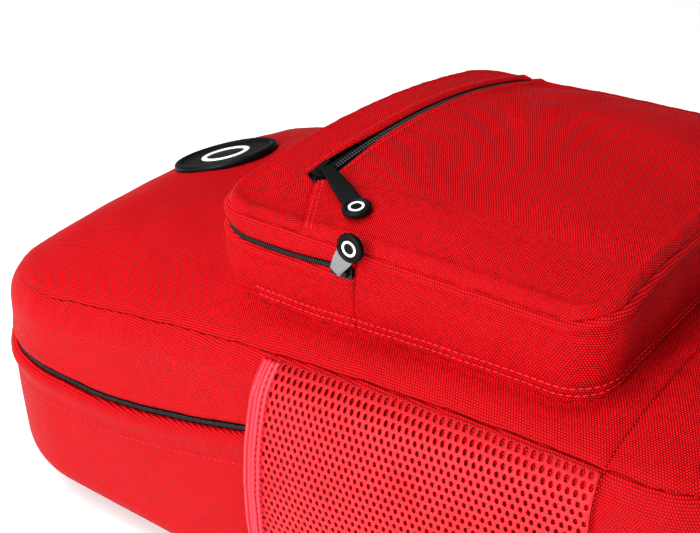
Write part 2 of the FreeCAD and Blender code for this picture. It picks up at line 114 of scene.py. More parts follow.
# ---- front pocket ----
POCKET_RADIUS = 22.0
RIDGE_INSET = 1.0
RIDGE_TUCK = 2.8
RIDGE_VALLEY = 3.2
POCKET_EDGE_Z = 207.0
POCKET_CROWN_AT_ENDS = 10.5
POCKET_CROWN_EXTRA = 7.0
POCKET_ZIP_X = (POCKET_ZIP_LOW[0] + POCKET_ZIP_HIGH[0]) / 2
POCKET_ZIP_NEAR = POCKET_ZIP_LOW[1]
POCKET_ZIP_FAR = POCKET_ZIP_HIGH[1]
POCKET_SLIT = 2.6
POCKET_SLIT_EXTRA = 3.9
PULL_ROOM = 1.6
SLANT_END_X = 8.0
SIDE_SLIT_Z = SIDE_ZIP_MIDDLE - 1.8
SIDE_SLIT_HALF = 1.2
SIDE_SEAM_X = 39.0
FOOT_STITCH_HEIGHTS = (4.0, 7.6)

# ---- seams and stuffing: how deep, how far ----
FRONT_VALLEY = 2.0
BASE_VALLEY = 1.6
SLANT_VALLEY = 0.9
CORNER_VALLEY = 0.55
PUCKER = 0.5
PUCKER_REACH = 8.0
SEAM_ROLL = 17.0
WALL_SWELL = 2.0
WALL_FOLD = 2.4
POCKET_WALL_HEIGHT = 42.0
POCKET_PRESS = 5.0
FRONT_HOLLOW = 1.3
POCKET_HOLLOW = 0.9

# ---- pulls ----
PULL_DISC_HALF = 1.7

# ---- mesh pockets ----
MESH_MIDDLE_X = 90.0
MESH_BOTTOM_Z = 24.0
MESH_TOP_GAP = 3.5
MESH_BULGE = 11.0
HOLE_PITCH_X = 3.5
HOLE_PITCH_Z = 3.7
HOLE_HALF_X = 1.02
HOLE_HALF_Z = 1.5
MESH_THICKNESS = 0.8


# ======== small shape helpers ========
def smooth(value):
    value = np.clip(value, 0.0, 1.0)
    return value * value * (3 - 2 * value)


def fade(distance, length):
    """1 at a seam, dying away over that length."""
    return np.exp(-distance / length)


def mound(distance, middle, width):
    """1 at the middle distance, falling off softly on both sides of it."""
    return np.exp(-(((distance - middle) / width) ** 2))


def unit(vector):
    vector = np.asarray(vector, float)
    return vector / np.maximum(np.linalg.norm(vector, axis=-1, keepdims=True), 1e-9)


def ripple(along, seed, shortest=9.0):
    """Uneven waves along a seam, between about -1 and 1."""
    phases = np.random.default_rng(seed).random(4) * 2 * math.pi
    total = np.zeros_like(np.asarray(along, float))
    for step, phase in enumerate(phases):
        total += np.sin(along * 2 * math.pi / (shortest * 1.62**step) + phase) * (0.5 + 0.15 * step)
    return total / 2.3


def rumple(x, y, seed, longest=120.0):
    """Soft uneven hollows over a surface, between about -1 and 1."""
    random = np.random.default_rng(seed)
    total = np.zeros_like(np.asarray(x + y, float))
    for step in range(6):
        angle, phase = random.random(2) * 2 * math.pi
        wave = longest / 1.35**step
        total += np.sin((x * math.cos(angle) + y * math.sin(angle)) * 2 * math.pi / wave + phase) / 1.25**step
    return total / 2.6


class Outline:
    """A rounded rectangle, walked from the middle of its base end, the near side first."""

    def __init__(self, x_low, x_high, half, radius_low, radius_high):
        self.x_low, self.x_high, self.half = x_low, x_high, half
        self.radius_low, self.radius_high = radius_low, radius_high
        side = x_high - radius_high - x_low - radius_low
        quarter_low, quarter_high = radius_low * math.pi / 2, radius_high * math.pi / 2
        end_high, end_low = half - radius_high, half - radius_low
        near_side = [end_high, quarter_high, side, quarter_low]
        self.lengths = near_side + [2 * end_low] + near_side[::-1]
        self.length = sum(self.lengths)

    def walk(self, distance):
        """x, y and the outward direction at each distance along the outline."""
        left = np.mod(np.asarray(distance, float), self.length)
        x, y = np.zeros_like(left), np.zeros_like(left)
        out_x, out_y = np.zeros_like(left), np.zeros_like(left)
        low_x, high_x = self.x_low + self.radius_low, self.x_high - self.radius_high
        low_y, high_y = self.half - self.radius_low, self.half - self.radius_high
        start = (
            (self.x_high, 0.0, 0.0), (high_x, -high_y, 0.0), (high_x, -self.half, -90.0),
            (low_x, -low_y, -90.0), (self.x_low, -low_y, -180.0), (low_x, low_y, -180.0),
            (low_x, self.half, -270.0), (high_x, high_y, -270.0), (self.x_high, high_y, -360.0),
        )
        radii = {1: self.radius_high, 3: self.radius_low, 5: self.radius_low, 7: self.radius_high}
        begun = 0.0
        for part, length in enumerate(self.lengths):
            here = (left >= begun) & (left <= begun + length)
            along = left[here] - begun
            from_x, from_y, degrees = start[part]
            angle = math.radians(degrees) - (along / radii[part] if part in radii else 0.0)
            if part in radii:
                x[here] = from_x + radii[part] * np.cos(angle)
                y[here] = from_y + radii[part] * np.sin(angle)
            else:
                x[here] = from_x + along * math.sin(math.radians(degrees))
                y[here] = from_y - along * math.cos(math.radians(degrees))
            out_x[here], out_y[here] = np.cos(angle), np.sin(angle)
            begun += length
        return x, y, out_x, out_y

    def at_x(self, x):
        """The distance along the outline to this x on its near side."""
        return self.lengths[0] + self.lengths[1] + (self.x_high - self.radius_high - x)

    def depth(self, x, y):
        """How far a point is inside the outline."""
        middle = (self.x_low + self.x_high) / 2
        radius = np.where(x < middle, self.radius_low, self.radius_high)
        over_x = np.abs(x - middle) - (self.x_high - self.x_low) / 2 + radius
        over_y = np.abs(y) - self.half + radius
        corner = np.hypot(np.maximum(over_x, 0), np.maximum(over_y, 0))
        return radius - corner - np.minimum(np.maximum(over_x, over_y), 0)

    def half_width(self, x, inset):
        """Half the width at x of the outline moved in by inset."""
        result = np.full_like(np.asarray(x, float), self.half - inset)
        low_x, high_x = self.x_low + self.radius_low, self.x_high - self.radius_high
        for past, radius in ((low_x - x, self.radius_low), (x - high_x, self.radius_high)):
            reach = radius - inset
            rounded = self.half - radius + np.sqrt(np.maximum(reach**2 - np.clip(past, 0, reach) ** 2, 0))
            result = np.where(past > 0, rounded, result)
        return result


PACK = Outline(BACK_LOW[0], BACK_HIGH[0], BACK_HIGH[1], TOP_RADIUS, BASE_RADIUS)
POCKET = Outline(
    POCKET_GUSSET_LOW[0], POCKET_WALL_HIGH[0], POCKET_GUSSET_HIGH[1], POCKET_RADIUS, POCKET_RADIUS
)


# ======== the pack's own curves ========
def seam_height(x):
    """Height of the seam round the front panel, which drops towards the top of the pack."""
    return SEAM_Z_AT_BASE - SEAM_DROP * (np.maximum(BASE_SEAM_X - x, 0) / SEAM_DROP_LENGTH) ** 1.9


# The height of the cut mesh, taken near the middle of its width.
MESH_HEIGHT = float(seam_height(MESH_MIDDLE_X) - MESH_TOP_GAP - MESH_BOTTOM_Z)


def front_height(x, y):
    """Height of the front panel, crowned across its width and pressed in round the pocket."""
    towards_top = np.clip((CROWN_X - x) / CROWN_TOP_LENGTH, 0, 1)
    towards_base = np.clip((x - CROWN_X) / (BASE_SEAM_X - CROWN_X), 0, 1.3)
    crown = CROWN * (1 - towards_top**6) + (CROWN_AT_BASE - CROWN) * towards_base
    power = 2.4 + 1.6 * smooth((x - CROWN_X) / 220)
    across = 1 - np.minimum(np.abs(y) / (PACK.half - SEAM_INSET), 1) ** power
    press = POCKET_PRESS * smooth((x + 40) / 60) * mound(POCKET.depth(x, y), 0, 9)
    roll = np.clip((x - BASE_ROLL_X) / (PACK.x_high - BASE_ROLL_X), 0, 1)
    return seam_height(x) + np.maximum(crown, 0) * across - press - BASE_ROLL_DROP * roll**2.5


def front_surface(x, y):
    """The front panel as it is sewn: a valley at each seam, puckers beside it and soft hollows."""
    from_seam = np.maximum(PACK.depth(x, y) - SEAM_INSET, 0)
    from_base_seam = np.abs(x - BASE_SEAM_X)
    valley = FRONT_VALLEY * fade(from_seam, 3.0) + BASE_VALLEY * fade(from_base_seam, 2.6)
    puckers = 1.1 * PUCKER * ripple(x + 1.3 * y, 3) * fade(from_seam, PUCKER_REACH)
    puckers += PUCKER * ripple(y, 4) * fade(from_base_seam, PUCKER_REACH)
    hollows = FRONT_HOLLOW * rumple(x, y, 5) * smooth(from_seam / 40)
    return front_height(x, y) - valley + puckers + hollows


def zip_height(x):
    rise = np.maximum(x - ZIP_RISE_START, 0) / ZIP_RISE_LENGTH
    return ZIP_Z + ZIP_RISE * np.minimum(rise, 1.05) ** 1.5


def wall_offset(x, y, z, distance):
    """How far the pack's side stands out from its outline at a height."""
    top = front_surface(*inset_point(x, y, SEAM_INSET))
    under_seam = np.clip(1 - (top - z) / SEAM_ROLL, 0, 1)
    above_back = np.clip(1 - (z - BACK_LOW[2]) / LOWER_CURL, 0, 1)
    middle = np.sin(math.pi * np.clip((z - BACK_LOW[2]) / (top - BACK_LOW[2]), 0, 1))
    swell = WALL_SWELL * middle * (1 + 0.35 * rumple(distance, z, 6, 150))
    curl = LOWER_CURL * 0.6 * (1 - np.sqrt(np.maximum(1 - above_back**2, 0)))
    puckers = PUCKER * ripple(distance, 7) * under_seam
    return swell - SEAM_INSET * under_seam**2 - curl + puckers


def inset_point(x, y, inset):
    """The point that far in from a point on the pack's outline."""
    low_x, high_x = PACK.x_low + PACK.radius_low, PACK.x_high - PACK.radius_high
    centre_x = np.clip(x, low_x, high_x)
    radius = np.where(x < 0, PACK.radius_low, PACK.radius_high)
    centre_y = np.clip(y, -(PACK.half - radius), PACK.half - radius)
    out = unit(np.stack([x - centre_x, y - centre_y], axis=-1))
    return x - out[..., 0] * inset, y - out[..., 1] * inset


def pocket_crown(x):
    along = (x - (POCKET.x_low + POCKET.x_high) / 2) / ((POCKET.x_high - POCKET.x_low) / 2)
    return POCKET_CROWN_AT_ENDS + POCKET_CROWN_EXTRA * (1 - np.minimum(np.abs(along), 1) ** 4)


def pocket_height(x, y):
    power = 2 + 2 * smooth(x / 45)
    return POCKET_EDGE_Z + pocket_crown(x) * (1 - np.minimum(np.abs(y) / POCKET.half, 1) ** power)


def slant_x(y):
    """Where the seam between the two halves of the pocket's face runs, past the zip's near end."""
    return POCKET_ZIP_X + (SLANT_END_X - POCKET_ZIP_X) * np.clip(
        (POCKET_ZIP_NEAR - y) / (POCKET.half + POCKET_ZIP_NEAR), 0, 1
    )


def slit_half(y):
    """Half the gap between the two folded edges of cloth over the pocket's zip."""
    near, far = (y - POCKET_ZIP_NEAR) / 5, (POCKET_ZIP_FAR - y) / 5
    wide = POCKET_SLIT + POCKET_SLIT_EXTRA * smooth((-25 - y) / 60)
    return (wide + 0.15) * smooth(np.minimum(near, far) + 0.4) - 0.15


def pocket_surface(x, y):
    """The pocket's face as it is sewn, with its edge seam, zip lips and soft hollows."""
    from_edge = np.maximum(POCKET.depth(x, y), 0)
    from_seam = np.abs(x - slant_x(y))
    past_zip = smooth((POCKET_ZIP_NEAR - y) / 3)
    valley = RIDGE_VALLEY * fade(np.maximum(from_edge - RIDGE_INSET, 0), 0.9)
    valley += SLANT_VALLEY * past_zip * fade(from_seam, 1.2)
    shoulder = 0.8 * mound(from_edge, 4.6, 2.0)
    lip = 0.9 * (1 - past_zip) * mound(from_seam, 6.0, 2.6)
    fold = 1.1 * (1 - past_zip) * fade(np.maximum(from_seam - slit_half(y), 0), 0.9)
    puckers = 0.9 * PUCKER * ripple(x + y, 11, 6.0) * fade(from_edge, 5)
    from_zip = x - POCKET_ZIP_X
    hollows = POCKET_HOLLOW * rumple(x, y, 12, 110) * smooth(from_edge / 30) * smooth(np.abs(from_zip) / 25)
    pressed = PULL_ROOM * smooth((y - 40) / 30) * smooth(from_edge / 15) * smooth(from_zip / 15)
    return pocket_height(x, y) - valley + shoulder + lip - fold + puckers + hollows - pressed


def side_slit_height(x):
    return SIDE_SLIT_Z + 1.8 * smooth(x / 30) + 4.5 * smooth((-22 - x) / 26)


def pocket_wall_offset(distance, share, top_x):
    """How far the pocket's side stands out: rounded between its seams, with puckers at both."""
    middle = np.sin(math.pi * share)
    under_ridge = (1 - share) * POCKET_WALL_HEIGHT
    over_foot = share * POCKET_WALL_HEIGHT
    swell = WALL_SWELL * middle + 0.7 * rumple(distance, share * 50, 13, 90) * middle
    near_seams = fade(over_foot, POCKET_WALL_HEIGHT / 9) + fade(under_ridge, POCKET_WALL_HEIGHT / 9)
    puckers = 0.9 * PUCKER * ripple(distance, 14, 8.0) * near_seams
    corner_seam = CORNER_VALLEY * fade(np.abs(top_x - SIDE_SEAM_X), 1.2)
    tucked = WALL_FOLD * fade(under_ridge, POCKET_WALL_HEIGHT / 46)
    return swell + puckers + mound(under_ridge, 3.4, 2.0) - corner_seam - tucked


def mesh_point(x, share, side, lift=0.0):
    """A point of the mesh pocket, which stands away from the side wall between its sewn edges."""
    top = seam_height(x) - MESH_TOP_GAP
    z = MESH_BOTTOM_Z + (top - MESH_BOTTOM_Z) * share
    along = np.clip((BASE_SEAM_X - x) / (BASE_SEAM_X - BINDING_HIGH[0]), 0, 1)
    bulge = MESH_BULGE * np.sin(math.pi * share) ** 0.8 * along**0.5
    near_y = np.full_like(x, -PACK.half)
    offset = wall_offset(x, near_y, z, PACK.at_x(x)) + bulge + lift
    soft = 0.5 * rumple(x, z, 21 + side, 70) * np.sin(math.pi * share) * smooth((BASE_SEAM_X - x) / 20)
    return np.stack([x, side * (PACK.half + offset + soft + 0.9), z], axis=-1)


def pair(first, second):
    """Two coordinates of each point side by side."""
    return np.stack(np.broadcast_arrays(first, second), axis=-1)


def stand_out(walked, offset, z):
    """Points at a height that stand out from a walked outline."""
    x, y, out_x, out_y = walked
    return np.stack(np.broadcast_arrays(x + out_x * offset, y + out_y * offset, z), axis=-1)


def outwards(walked):
    """The level outward direction at each point of a walked outline."""
    _, _, out_x, out_y = walked
    return np.stack([out_x, out_y, np.zeros_like(out_x)], axis=-1)


# ======== mesh building ========
def build(name, points, faces, material, cloth=None):
    """A mesh object from points in millimetres; cloth holds each point's place on the flat cloth."""
    mesh = bpy.data.meshes.new(name)
    mesh.from_pydata((np.asarray(points, float) * MM).tolist(), [], [list(map(int, face)) for face in faces])
    if cloth is not None:
        corners = np.zeros(len(mesh.loops), np.int32)
        mesh.loops.foreach_get("vertex_index", corners)
        layer = mesh.uv_layers.new(name="cloth")
        layer.data.foreach_set("uv", (np.asarray(cloth, float)[corners] * MM).astype(np.float32).ravel())
    mesh.polygons.foreach_set("use_smooth", [True] * len(mesh.polygons))
    mesh.materials.append(material)
    mesh.update()
    piece = bpy.data.objects.new(name, mesh)
    bpy.context.scene.collection.objects.link(piece)
    return piece


def grid_faces(rows, columns):
    first = np.arange(rows - 1)[:, None] * columns + np.arange(columns - 1)
    return np.stack([first, first + columns, first + columns + 1, first + 1], axis=-1).reshape(-1, 4)


def grid_rim(rows, columns):
    """The numbers of a grid's outermost points, in order round it."""
    top = np.arange(columns)
    right = np.arange(1, rows) * columns + columns - 1
    bottom = (rows - 1) * columns + np.arange(columns - 2, -1, -1)
    left = np.arange(rows - 2, 0, -1) * columns
    return np.concatenate([top, right, bottom, left])


def grid_solid(points, thickness):
    """Points and faces of a sheet that thick, whose outer side is the grid."""
    rows, columns = points.shape[:2]
    normal = unit(np.cross(np.gradient(points, axis=0), np.gradient(points, axis=1)))
    count = rows * columns
    outer = points.reshape(-1, 3)
    inner = (points - normal * thickness).reshape(-1, 3)
    faces = grid_faces(rows, columns)
    rim = grid_rim(rows, columns)
    following = np.roll(rim, -1)
    sides = np.stack([rim, following, following + count, rim + count], axis=-1)
    return np.concatenate([outer, inner]), np.concatenate([faces, faces[:, ::-1] + count, sides])


def cloth_area(cloth):
    """Flat area of a grid of cloth coordinates."""
    one = cloth[1:, 1:] - cloth[:-1, :-1]
    two = cloth[:-1, 1:] - cloth[1:, :-1]
    return float(np.abs(one[..., 0] * two[..., 1] - one[..., 1] * two[..., 0]).sum() / 2)


def panels(name, grids, material, thickness=1.6):
    """A piece of cloth from one or more grids of (points, cloth coordinates); its flat area is worked out but
    not used.
    """
    all_points, all_faces, all_cloth = [], [], []
    begun, area, width, length = 0, 0.0, 0.0, 0.0
    for points, cloth in grids:
        solid, faces = grid_solid(points, thickness)
        all_points.append(solid)
        all_faces.append(faces + begun)
        flat = cloth.reshape(-1, 2)
        all_cloth.append(np.concatenate([flat, flat]))
        begun += len(solid)
        area += cloth_area(cloth)
        extent = flat.max(0) - flat.min(0)
        width = max(width, extent[1])
        length += extent[0]
    faces = np.concatenate(all_faces)
    piece = build(name, np.concatenate(all_points), faces, material, np.concatenate(all_cloth))
    whole = width * length
    area = max(min(area, whole), LEAST_AREA_SHARE * whole)
    return piece


def place(piece, body, slot, *nodes):
    """The piece moves with a body and stands for these CAD nodes; the slot is not used."""
    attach(piece, body)
    if nodes:
        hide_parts(*nodes)
    return piece


def stamped(name, template, faces, centres, axes, material):
    """One mesh with the small template repeated at each centre, turned by its three axes."""
    centres = np.asarray(centres, float)
    points = np.einsum("tk,nkj->ntj", template, axes) + centres[:, None, :]
    count = len(template)
    shifted = faces[None, :, :] + (np.arange(len(centres)) * count)[:, None, None]
    return build(name, points.reshape(-1, 3), shifted.reshape(-1, faces.shape[1]), material)


def bead(length, width, height, rings=6, sides=8):
    """A closed rounded bead along its first axis, made of quads."""
    angles = np.linspace(0, math.pi, rings)
    angles[0], angles[-1] = 0.25, math.pi - 0.25
    turns = np.arange(sides) * 2 * math.pi / sides
    points = []
    for angle in angles:
        for turn in turns:
            points.append((
                -math.cos(angle) * length / 2,
                math.sin(angle) * math.cos(turn) * width / 2,
                math.sin(angle) * math.sin(turn) * height / 2,
            ))
    faces = []
    for ring in range(rings - 1):
        for side in range(sides):
            after = (side + 1) % sides
            faces.append((ring * sides + side, (ring + 1) * sides + side,
                          (ring + 1) * sides + after, ring * sides + after))
    last = (rings - 1) * sides
    for side in range(1, sides - 2, 2):
        faces.append((0, side, side + 1, side + 2))
        faces.append((last, last + side + 2, last + side + 1, last + side))
    return np.array(points), np.array(faces)


def spaced(path, step):
    """Points a step apart along a path, and the direction of the path at each."""
    path = np.asarray(path, float)
    travelled = np.concatenate([[0], np.cumsum(np.linalg.norm(np.diff(path, axis=0), axis=1))])
    at = np.arange(step / 2, travelled[-1], step)
    points = np.stack([np.interp(at, travelled, path[:, k]) for k in range(3)], axis=1)
    ahead = np.stack([np.interp(at + step / 4, travelled, path[:, k]) for k in range(3)], axis=1)
    behind = np.stack([np.interp(at - step / 4, travelled, path[:, k]) for k in range(3)], axis=1)
    return points, unit(ahead - behind)


def facing_axes(direction, out):
    """Three axes for each point: along the path, across it, and outwards."""
    out = np.broadcast_to(np.asarray(out, float), direction.shape)
    across = unit(np.cross(out, direction))
    return np.stack([direction, across, np.cross(direction, across)], axis=1)


def stitches(name, paths, outs, material, body, slot, step=3.3, length=2.5, width=0.62):
    """Rows of thread stitches lying on the surface along each path."""
    template, faces = bead(length, width, width * 0.8, 5, 6)
    centres, axes = [], []
    for path, out in zip(paths, outs):
        points, direction = spaced(path, step)
        path = np.asarray(path, float)
        out = np.asarray(out, float)
        if out.ndim == 2:
            nearest = np.array([np.argmin(((path - point) ** 2).sum(1)) for point in points])
            out = out[nearest]
        centres.append(points)
        axes.append(facing_axes(direction, out))
    piece = stamped(name, template, faces, np.concatenate(centres), np.concatenate(axes), material)
    return place(piece, body, slot)


def sweep(name, path, up, half_width, half_height, material, power=4.0, sides=20, closed=False):
    """A flat band with rounded edges along a path; its width and height may change along it."""
    path = np.asarray(path, float)
    count = len(path)
    direction = unit(np.gradient(path, axis=0))
    up = np.broadcast_to(np.asarray(up, float), path.shape)
    across = unit(np.cross(up, direction))
    over = np.cross(direction, across)
    turn = np.arange(sides) * 2 * math.pi / sides
    ring_x = np.sign(np.cos(turn)) * np.abs(np.cos(turn)) ** (2 / power)
    ring_z = np.sign(np.sin(turn)) * np.abs(np.sin(turn)) ** (2 / power)
    wide = np.broadcast_to(np.asarray(half_width, float), (count,))
    high = np.broadcast_to(np.asarray(half_height, float), (count,))
    points = path[:, None, :] + across[:, None, :] * (ring_x[None, :, None] * wide[:, None, None])
    points = points + over[:, None, :] * (ring_z[None, :, None] * high[:, None, None])
    travelled = np.concatenate([[0], np.cumsum(np.linalg.norm(np.diff(path, axis=0), axis=1))])
    cloth = np.stack(np.broadcast_arrays(travelled[:, None], ring_x[None, :] * wide[:, None]), axis=-1)
    ring = np.arange(sides)
    after = (ring + 1) % sides
    faces = []
    for step in range(count if closed else count - 1):
        here, there = step * sides, ((step + 1) % count) * sides
        faces += np.stack([here + ring, here + after, there + after, there + ring], axis=-1).tolist()
    if not closed:
        faces.append(ring[::-1].tolist())
        faces.append((ring + (count - 1) * sides).tolist())
    return build(name, points.reshape(-1, 3), faces, material, cloth.reshape(-1, 2))


def lathe(name, profile, centre, axis, material, segments=64):
    """A closed round solid from (radius, height) points, turned about an axis through a centre."""
    axis = unit(axis)
    helper = np.array([0.0, 1.0, 0.0]) if abs(axis[1]) < 0.9 else np.array([1.0, 0.0, 0.0])
    one = unit(np.cross(helper, axis))
    two = np.cross(axis, one)
    turn = np.arange(segments) * 2 * math.pi / segments
    round_it = np.cos(turn)[:, None] * one + np.sin(turn)[:, None] * two
    points = [np.asarray(centre, float) + round_it * radius + axis * height for radius, height in profile]
    faces = []
    ring = np.arange(segments)
    after = (ring + 1) % segments
    closed_ring = profile[0] == profile[-1]
    steps = len(profile) - 1
    if closed_ring:
        points = points[:-1]
    for step in range(steps):
        here = step * segments
        there = ((step + 1) % len(points)) * segments
        faces += np.stack([here + ring, here + after, there + after, there + ring], axis=-1).tolist()
    if not closed_ring:
        faces.append(ring[::-1].tolist())
        faces.append((ring + steps * segments).tolist())
    return build(name, np.concatenate(points), faces, material)


# ======== materials ========
class Graph:
    """Short calls for the shader nodes that the materials share."""

    def __init__(self, name, roughness, specular=0.3):
        self.material = bpy.data.materials.new(name)
        self.material.use_nodes = True
        self.tree = self.material.node_tree
        self.shader = self.tree.nodes["Principled BSDF"]
        self.shader.inputs["Roughness"].default_value = roughness
        self.shader.inputs["Specular IOR Level"].default_value = specular

    def give(self, value, socket):
        if isinstance(value, bpy.types.NodeSocket):
            self.tree.links.new(value, socket)
        else:
            socket.default_value = value

    def math(self, operation, first, second=0.0, third=0.0):
        node = self.tree.nodes.new("ShaderNodeMath")
        node.operation = operation
        for value, socket in zip((first, second, third), node.inputs):
            self.give(value, socket)
        return node.outputs[0]

    def mix(self, share, first, second):
        node = self.tree.nodes.new("ShaderNodeMix")
        node.data_type = "RGBA"
        self.give(share, node.inputs[0])
        self.give(first, node.inputs[6])
        self.give(second, node.inputs[7])
        return node.outputs[2]

    def ramp(self, value, from_low, from_high, to_low=0.0, to_high=1.0):
        node = self.tree.nodes.new("ShaderNodeMapRange")
        node.interpolation_type = "SMOOTHSTEP"
        self.give(value, node.inputs["Value"])
        ends = {"From Min": from_low, "From Max": from_high, "To Min": to_low, "To Max": to_high}
        for name, number in ends.items():
            node.inputs[name].default_value = number
        return node.outputs["Result"]

    def stripes(self, value, per_metre, edge=0.5, full=0.1):
        """Rounded stripes across a coordinate: 1 along the middle of each, 0 between them."""
        turn = self.math("FRACT", self.math("MULTIPLY", value, per_metre))
        return self.ramp(self.math("ABSOLUTE", self.math("SUBTRACT", turn, 0.5)), edge, full)

    def cloth(self):
        """Both cloth coordinates, in metres."""
        node = self.tree.nodes.new("ShaderNodeUVMap")
        node.uv_map = "cloth"
        split = self.tree.nodes.new("ShaderNodeSeparateXYZ")
        self.tree.links.new(node.outputs["UV"], split.inputs[0])
        return split.outputs[0], split.outputs[1]

    def place(self):
        """Coordinates fixed to the piece, in metres."""
        return self.tree.nodes.new("ShaderNodeTexCoord").outputs["Object"]

    def noise(self, where, scale, detail=3.0):
        node = self.tree.nodes.new("ShaderNodeTexNoise")
        self.give(where, node.inputs["Vector"])
        node.inputs["Scale"].default_value = scale
        node.inputs["Detail"].default_value = detail
        return node.outputs["Fac"]

    def cells(self, where, scale):
        node = self.tree.nodes.new("ShaderNodeTexVoronoi")
        self.give(where, node.inputs["Vector"])
        node.inputs["Scale"].default_value = scale
        return node.outputs["Distance"]

    def finish(self, colour, height=None, depth=0.0002, strength=0.6, roughness=None):
        self.give(colour, self.shader.inputs["Base Color"])
        if roughness is not None:
            self.give(roughness, self.shader.inputs["Roughness"])
        if height is not None:
            bump = self.tree.nodes.new("ShaderNodeBump")
            bump.inputs["Strength"].default_value = strength
            bump.inputs["Distance"].default_value = depth
            self.give(height, bump.inputs["Height"])
            self.tree.links.new(bump.outputs["Normal"], self.shader.inputs["Normal"])
        return self.material


def dotted_weave(graph, pitch, row):
    """Rounded thread crossings in rows that are shifted by half a step: 1 on a thread, 0 between."""
    along, up = graph.cloth()
    line = graph.math("DIVIDE", up, row)
    number = graph.math("FLOOR", line)
    shift = graph.math("MULTIPLY", graph.math("MODULO", number, 2.0), 0.5)
    step = graph.math("ADD", graph.math("DIVIDE", along, pitch), shift)
    side = graph.math("SUBTRACT", graph.math("FRACT", step), 0.5)
    rise = graph.math("SUBTRACT", graph.math("FRACT", line), 0.5)
    squares = graph.math("ADD", graph.math("POWER", side, 2.0), graph.math("POWER", rise, 2.0))
    return graph.ramp(graph.math("SQRT", squares), 0.56, 0.14)


def red_cloth():
    """Coarse polyester weave: round thread crossings painted light as a painted highlight, over a deeper red
    painted between the threads as painted shade.
    """
    graph = Graph("red_cloth", 0.52, 0.12)
    dots = dotted_weave(graph, 0.00125, 0.0011)
    patches = graph.noise(graph.place(), 16.0)
    fine = graph.noise(graph.place(), 420.0, 2.0)
    # deep is painted shade between the threads; light is a painted highlight on the thread crossings.
    deep = (0.17, 0.0, 0.001, 1)
    light = (0.96, 0.006, 0.015, 1)
    shade = graph.math("MULTIPLY", dots, graph.ramp(fine, 0.25, 0.75, 0.65, 1.0))
    cloth = graph.mix(shade, deep, light)
    worn = graph.mix(graph.ramp(patches, 0.35, 0.7, 0.0, 0.16), cloth, (0.26, 0.0, 0.002, 1))
    return graph.finish(worn, dots, 0.0004, 1.0, graph.ramp(fine, 0.2, 0.8, 0.48, 0.66))


def red_net():
    """The stretch mesh: smooth red yarn, painted pale along its ridges as a painted highlight and darker
    between them as painted shade.
    """
    graph = Graph("red_net", 0.5, 0.25)
    along, up = graph.cloth()
    ridge = graph.stripes(graph.math("ADD", along, up), 1400.0)
    # Painted highlight along the yarn ridges, painted shade between them.
    yarn_painted_highlight = graph.mix(ridge, (0.44, 0.003, 0.010, 1), (0.80, 0.030, 0.040, 1))
    # The colour darkens towards both hems over the last 14 mm, and in random patches.
    from_hem = graph.math("MINIMUM", up, graph.math("SUBTRACT", MESH_HEIGHT * MM, up))
    worn = graph.ramp(graph.noise(graph.place(), 45.0), 0.4, 0.75, 0.0, 0.3)
    shade = graph.math("MAXIMUM", worn, graph.ramp(from_hem, 0.014, 0.002, 0.0, 0.85))
    colour = graph.mix(shade, yarn_painted_highlight, (0.30, 0.0, 0.004, 1))
    return graph.finish(colour, ridge, 0.0001, 0.5)


def red_elastic():
    """Elastic binding: ribs along it, painted bright on their tops as a painted highlight and dark between
    them as painted shade, crossed by a fine knit.
    """
    graph = Graph("red_elastic", 0.42, 0.3)
    along, up = graph.cloth()
    knit = graph.stripes(up, 900.0)
    rib = graph.stripes(along, 420.0, 0.48, 0.12)
    shade = graph.math("MULTIPLY", rib, graph.ramp(knit, 0.0, 1.0, 0.7, 1.0))
    # Painted highlight on the rib tops, painted shade in the grooves between them.
    colour = graph.mix(shade, (0.34, 0.001, 0.008, 1), (0.82, 0.045, 0.070, 1))
    return graph.finish(colour, shade, 0.0003, 0.8)


def twisted_thread(name, light, dark, roughness, specular):
    graph = Graph(name, roughness, specular)
    twist = graph.cells(graph.place(), 2200.0)
    return graph.finish(graph.mix(twist, light, dark), twist, 0.0001, 0.5)


def webbing_weave(name, dark, light):
    """Flat webbing: slanting ribs that change direction at the middle."""
    graph = Graph(name, 0.7, 0.25)
    along, across = graph.cloth()
    slant = graph.math("ADD", along, graph.math("ABSOLUTE", across))
    rib = graph.stripes(slant, 620.0, 0.5, 0.12)
    height = graph.math("MULTIPLY", rib, graph.stripes(across, 830.0, 0.5, 0.2))
    fuzz = graph.noise(graph.place(), 900.0, 2.0)
    colour = graph.mix(graph.math("MULTIPLY", height, graph.ramp(fuzz, 0.2, 0.8, 0.6, 1.0)), dark, light)
    return graph.finish(colour, height, 0.0003, 0.7)


def air_mesh():
    """Padded knit mesh: rounded cells in a black face fabric."""
    graph = Graph("air_mesh", 0.8, 0.2)
    cell = graph.cells(graph.place(), 420.0)
    hole = graph.ramp(cell, 0.12, 0.42)
    fuzz = graph.noise(graph.place(), 700.0, 2.0)
    colour = graph.mix(graph.math("MULTIPLY", hole, graph.ramp(fuzz, 0.2, 0.8, 0.6, 1.0)),
                       (0.008, 0.008, 0.009, 1), (0.055, 0.055, 0.06, 1))
    return graph.finish(colour, hole, 0.0006, 0.9)


def moulded(name, dark, light, roughness, grain=1500.0, specular=0.4):
    """Moulded rubber or plastic: fine grain, with paler scuffs on it."""
    graph = Graph(name, roughness, specular)
    grains = graph.noise(graph.place(), grain, 2.0)
    scuffs = graph.ramp(graph.noise(graph.place(), 160.0, 6.0), 0.58, 0.78)
    colour = graph.mix(graph.math("MULTIPLY", scuffs, 0.6), dark, light)
    rough = graph.ramp(grains, 0.2, 0.8, roughness - 0.06, roughness + 0.1)
    return graph.finish(colour, grains, 0.00006, 0.5, rough)


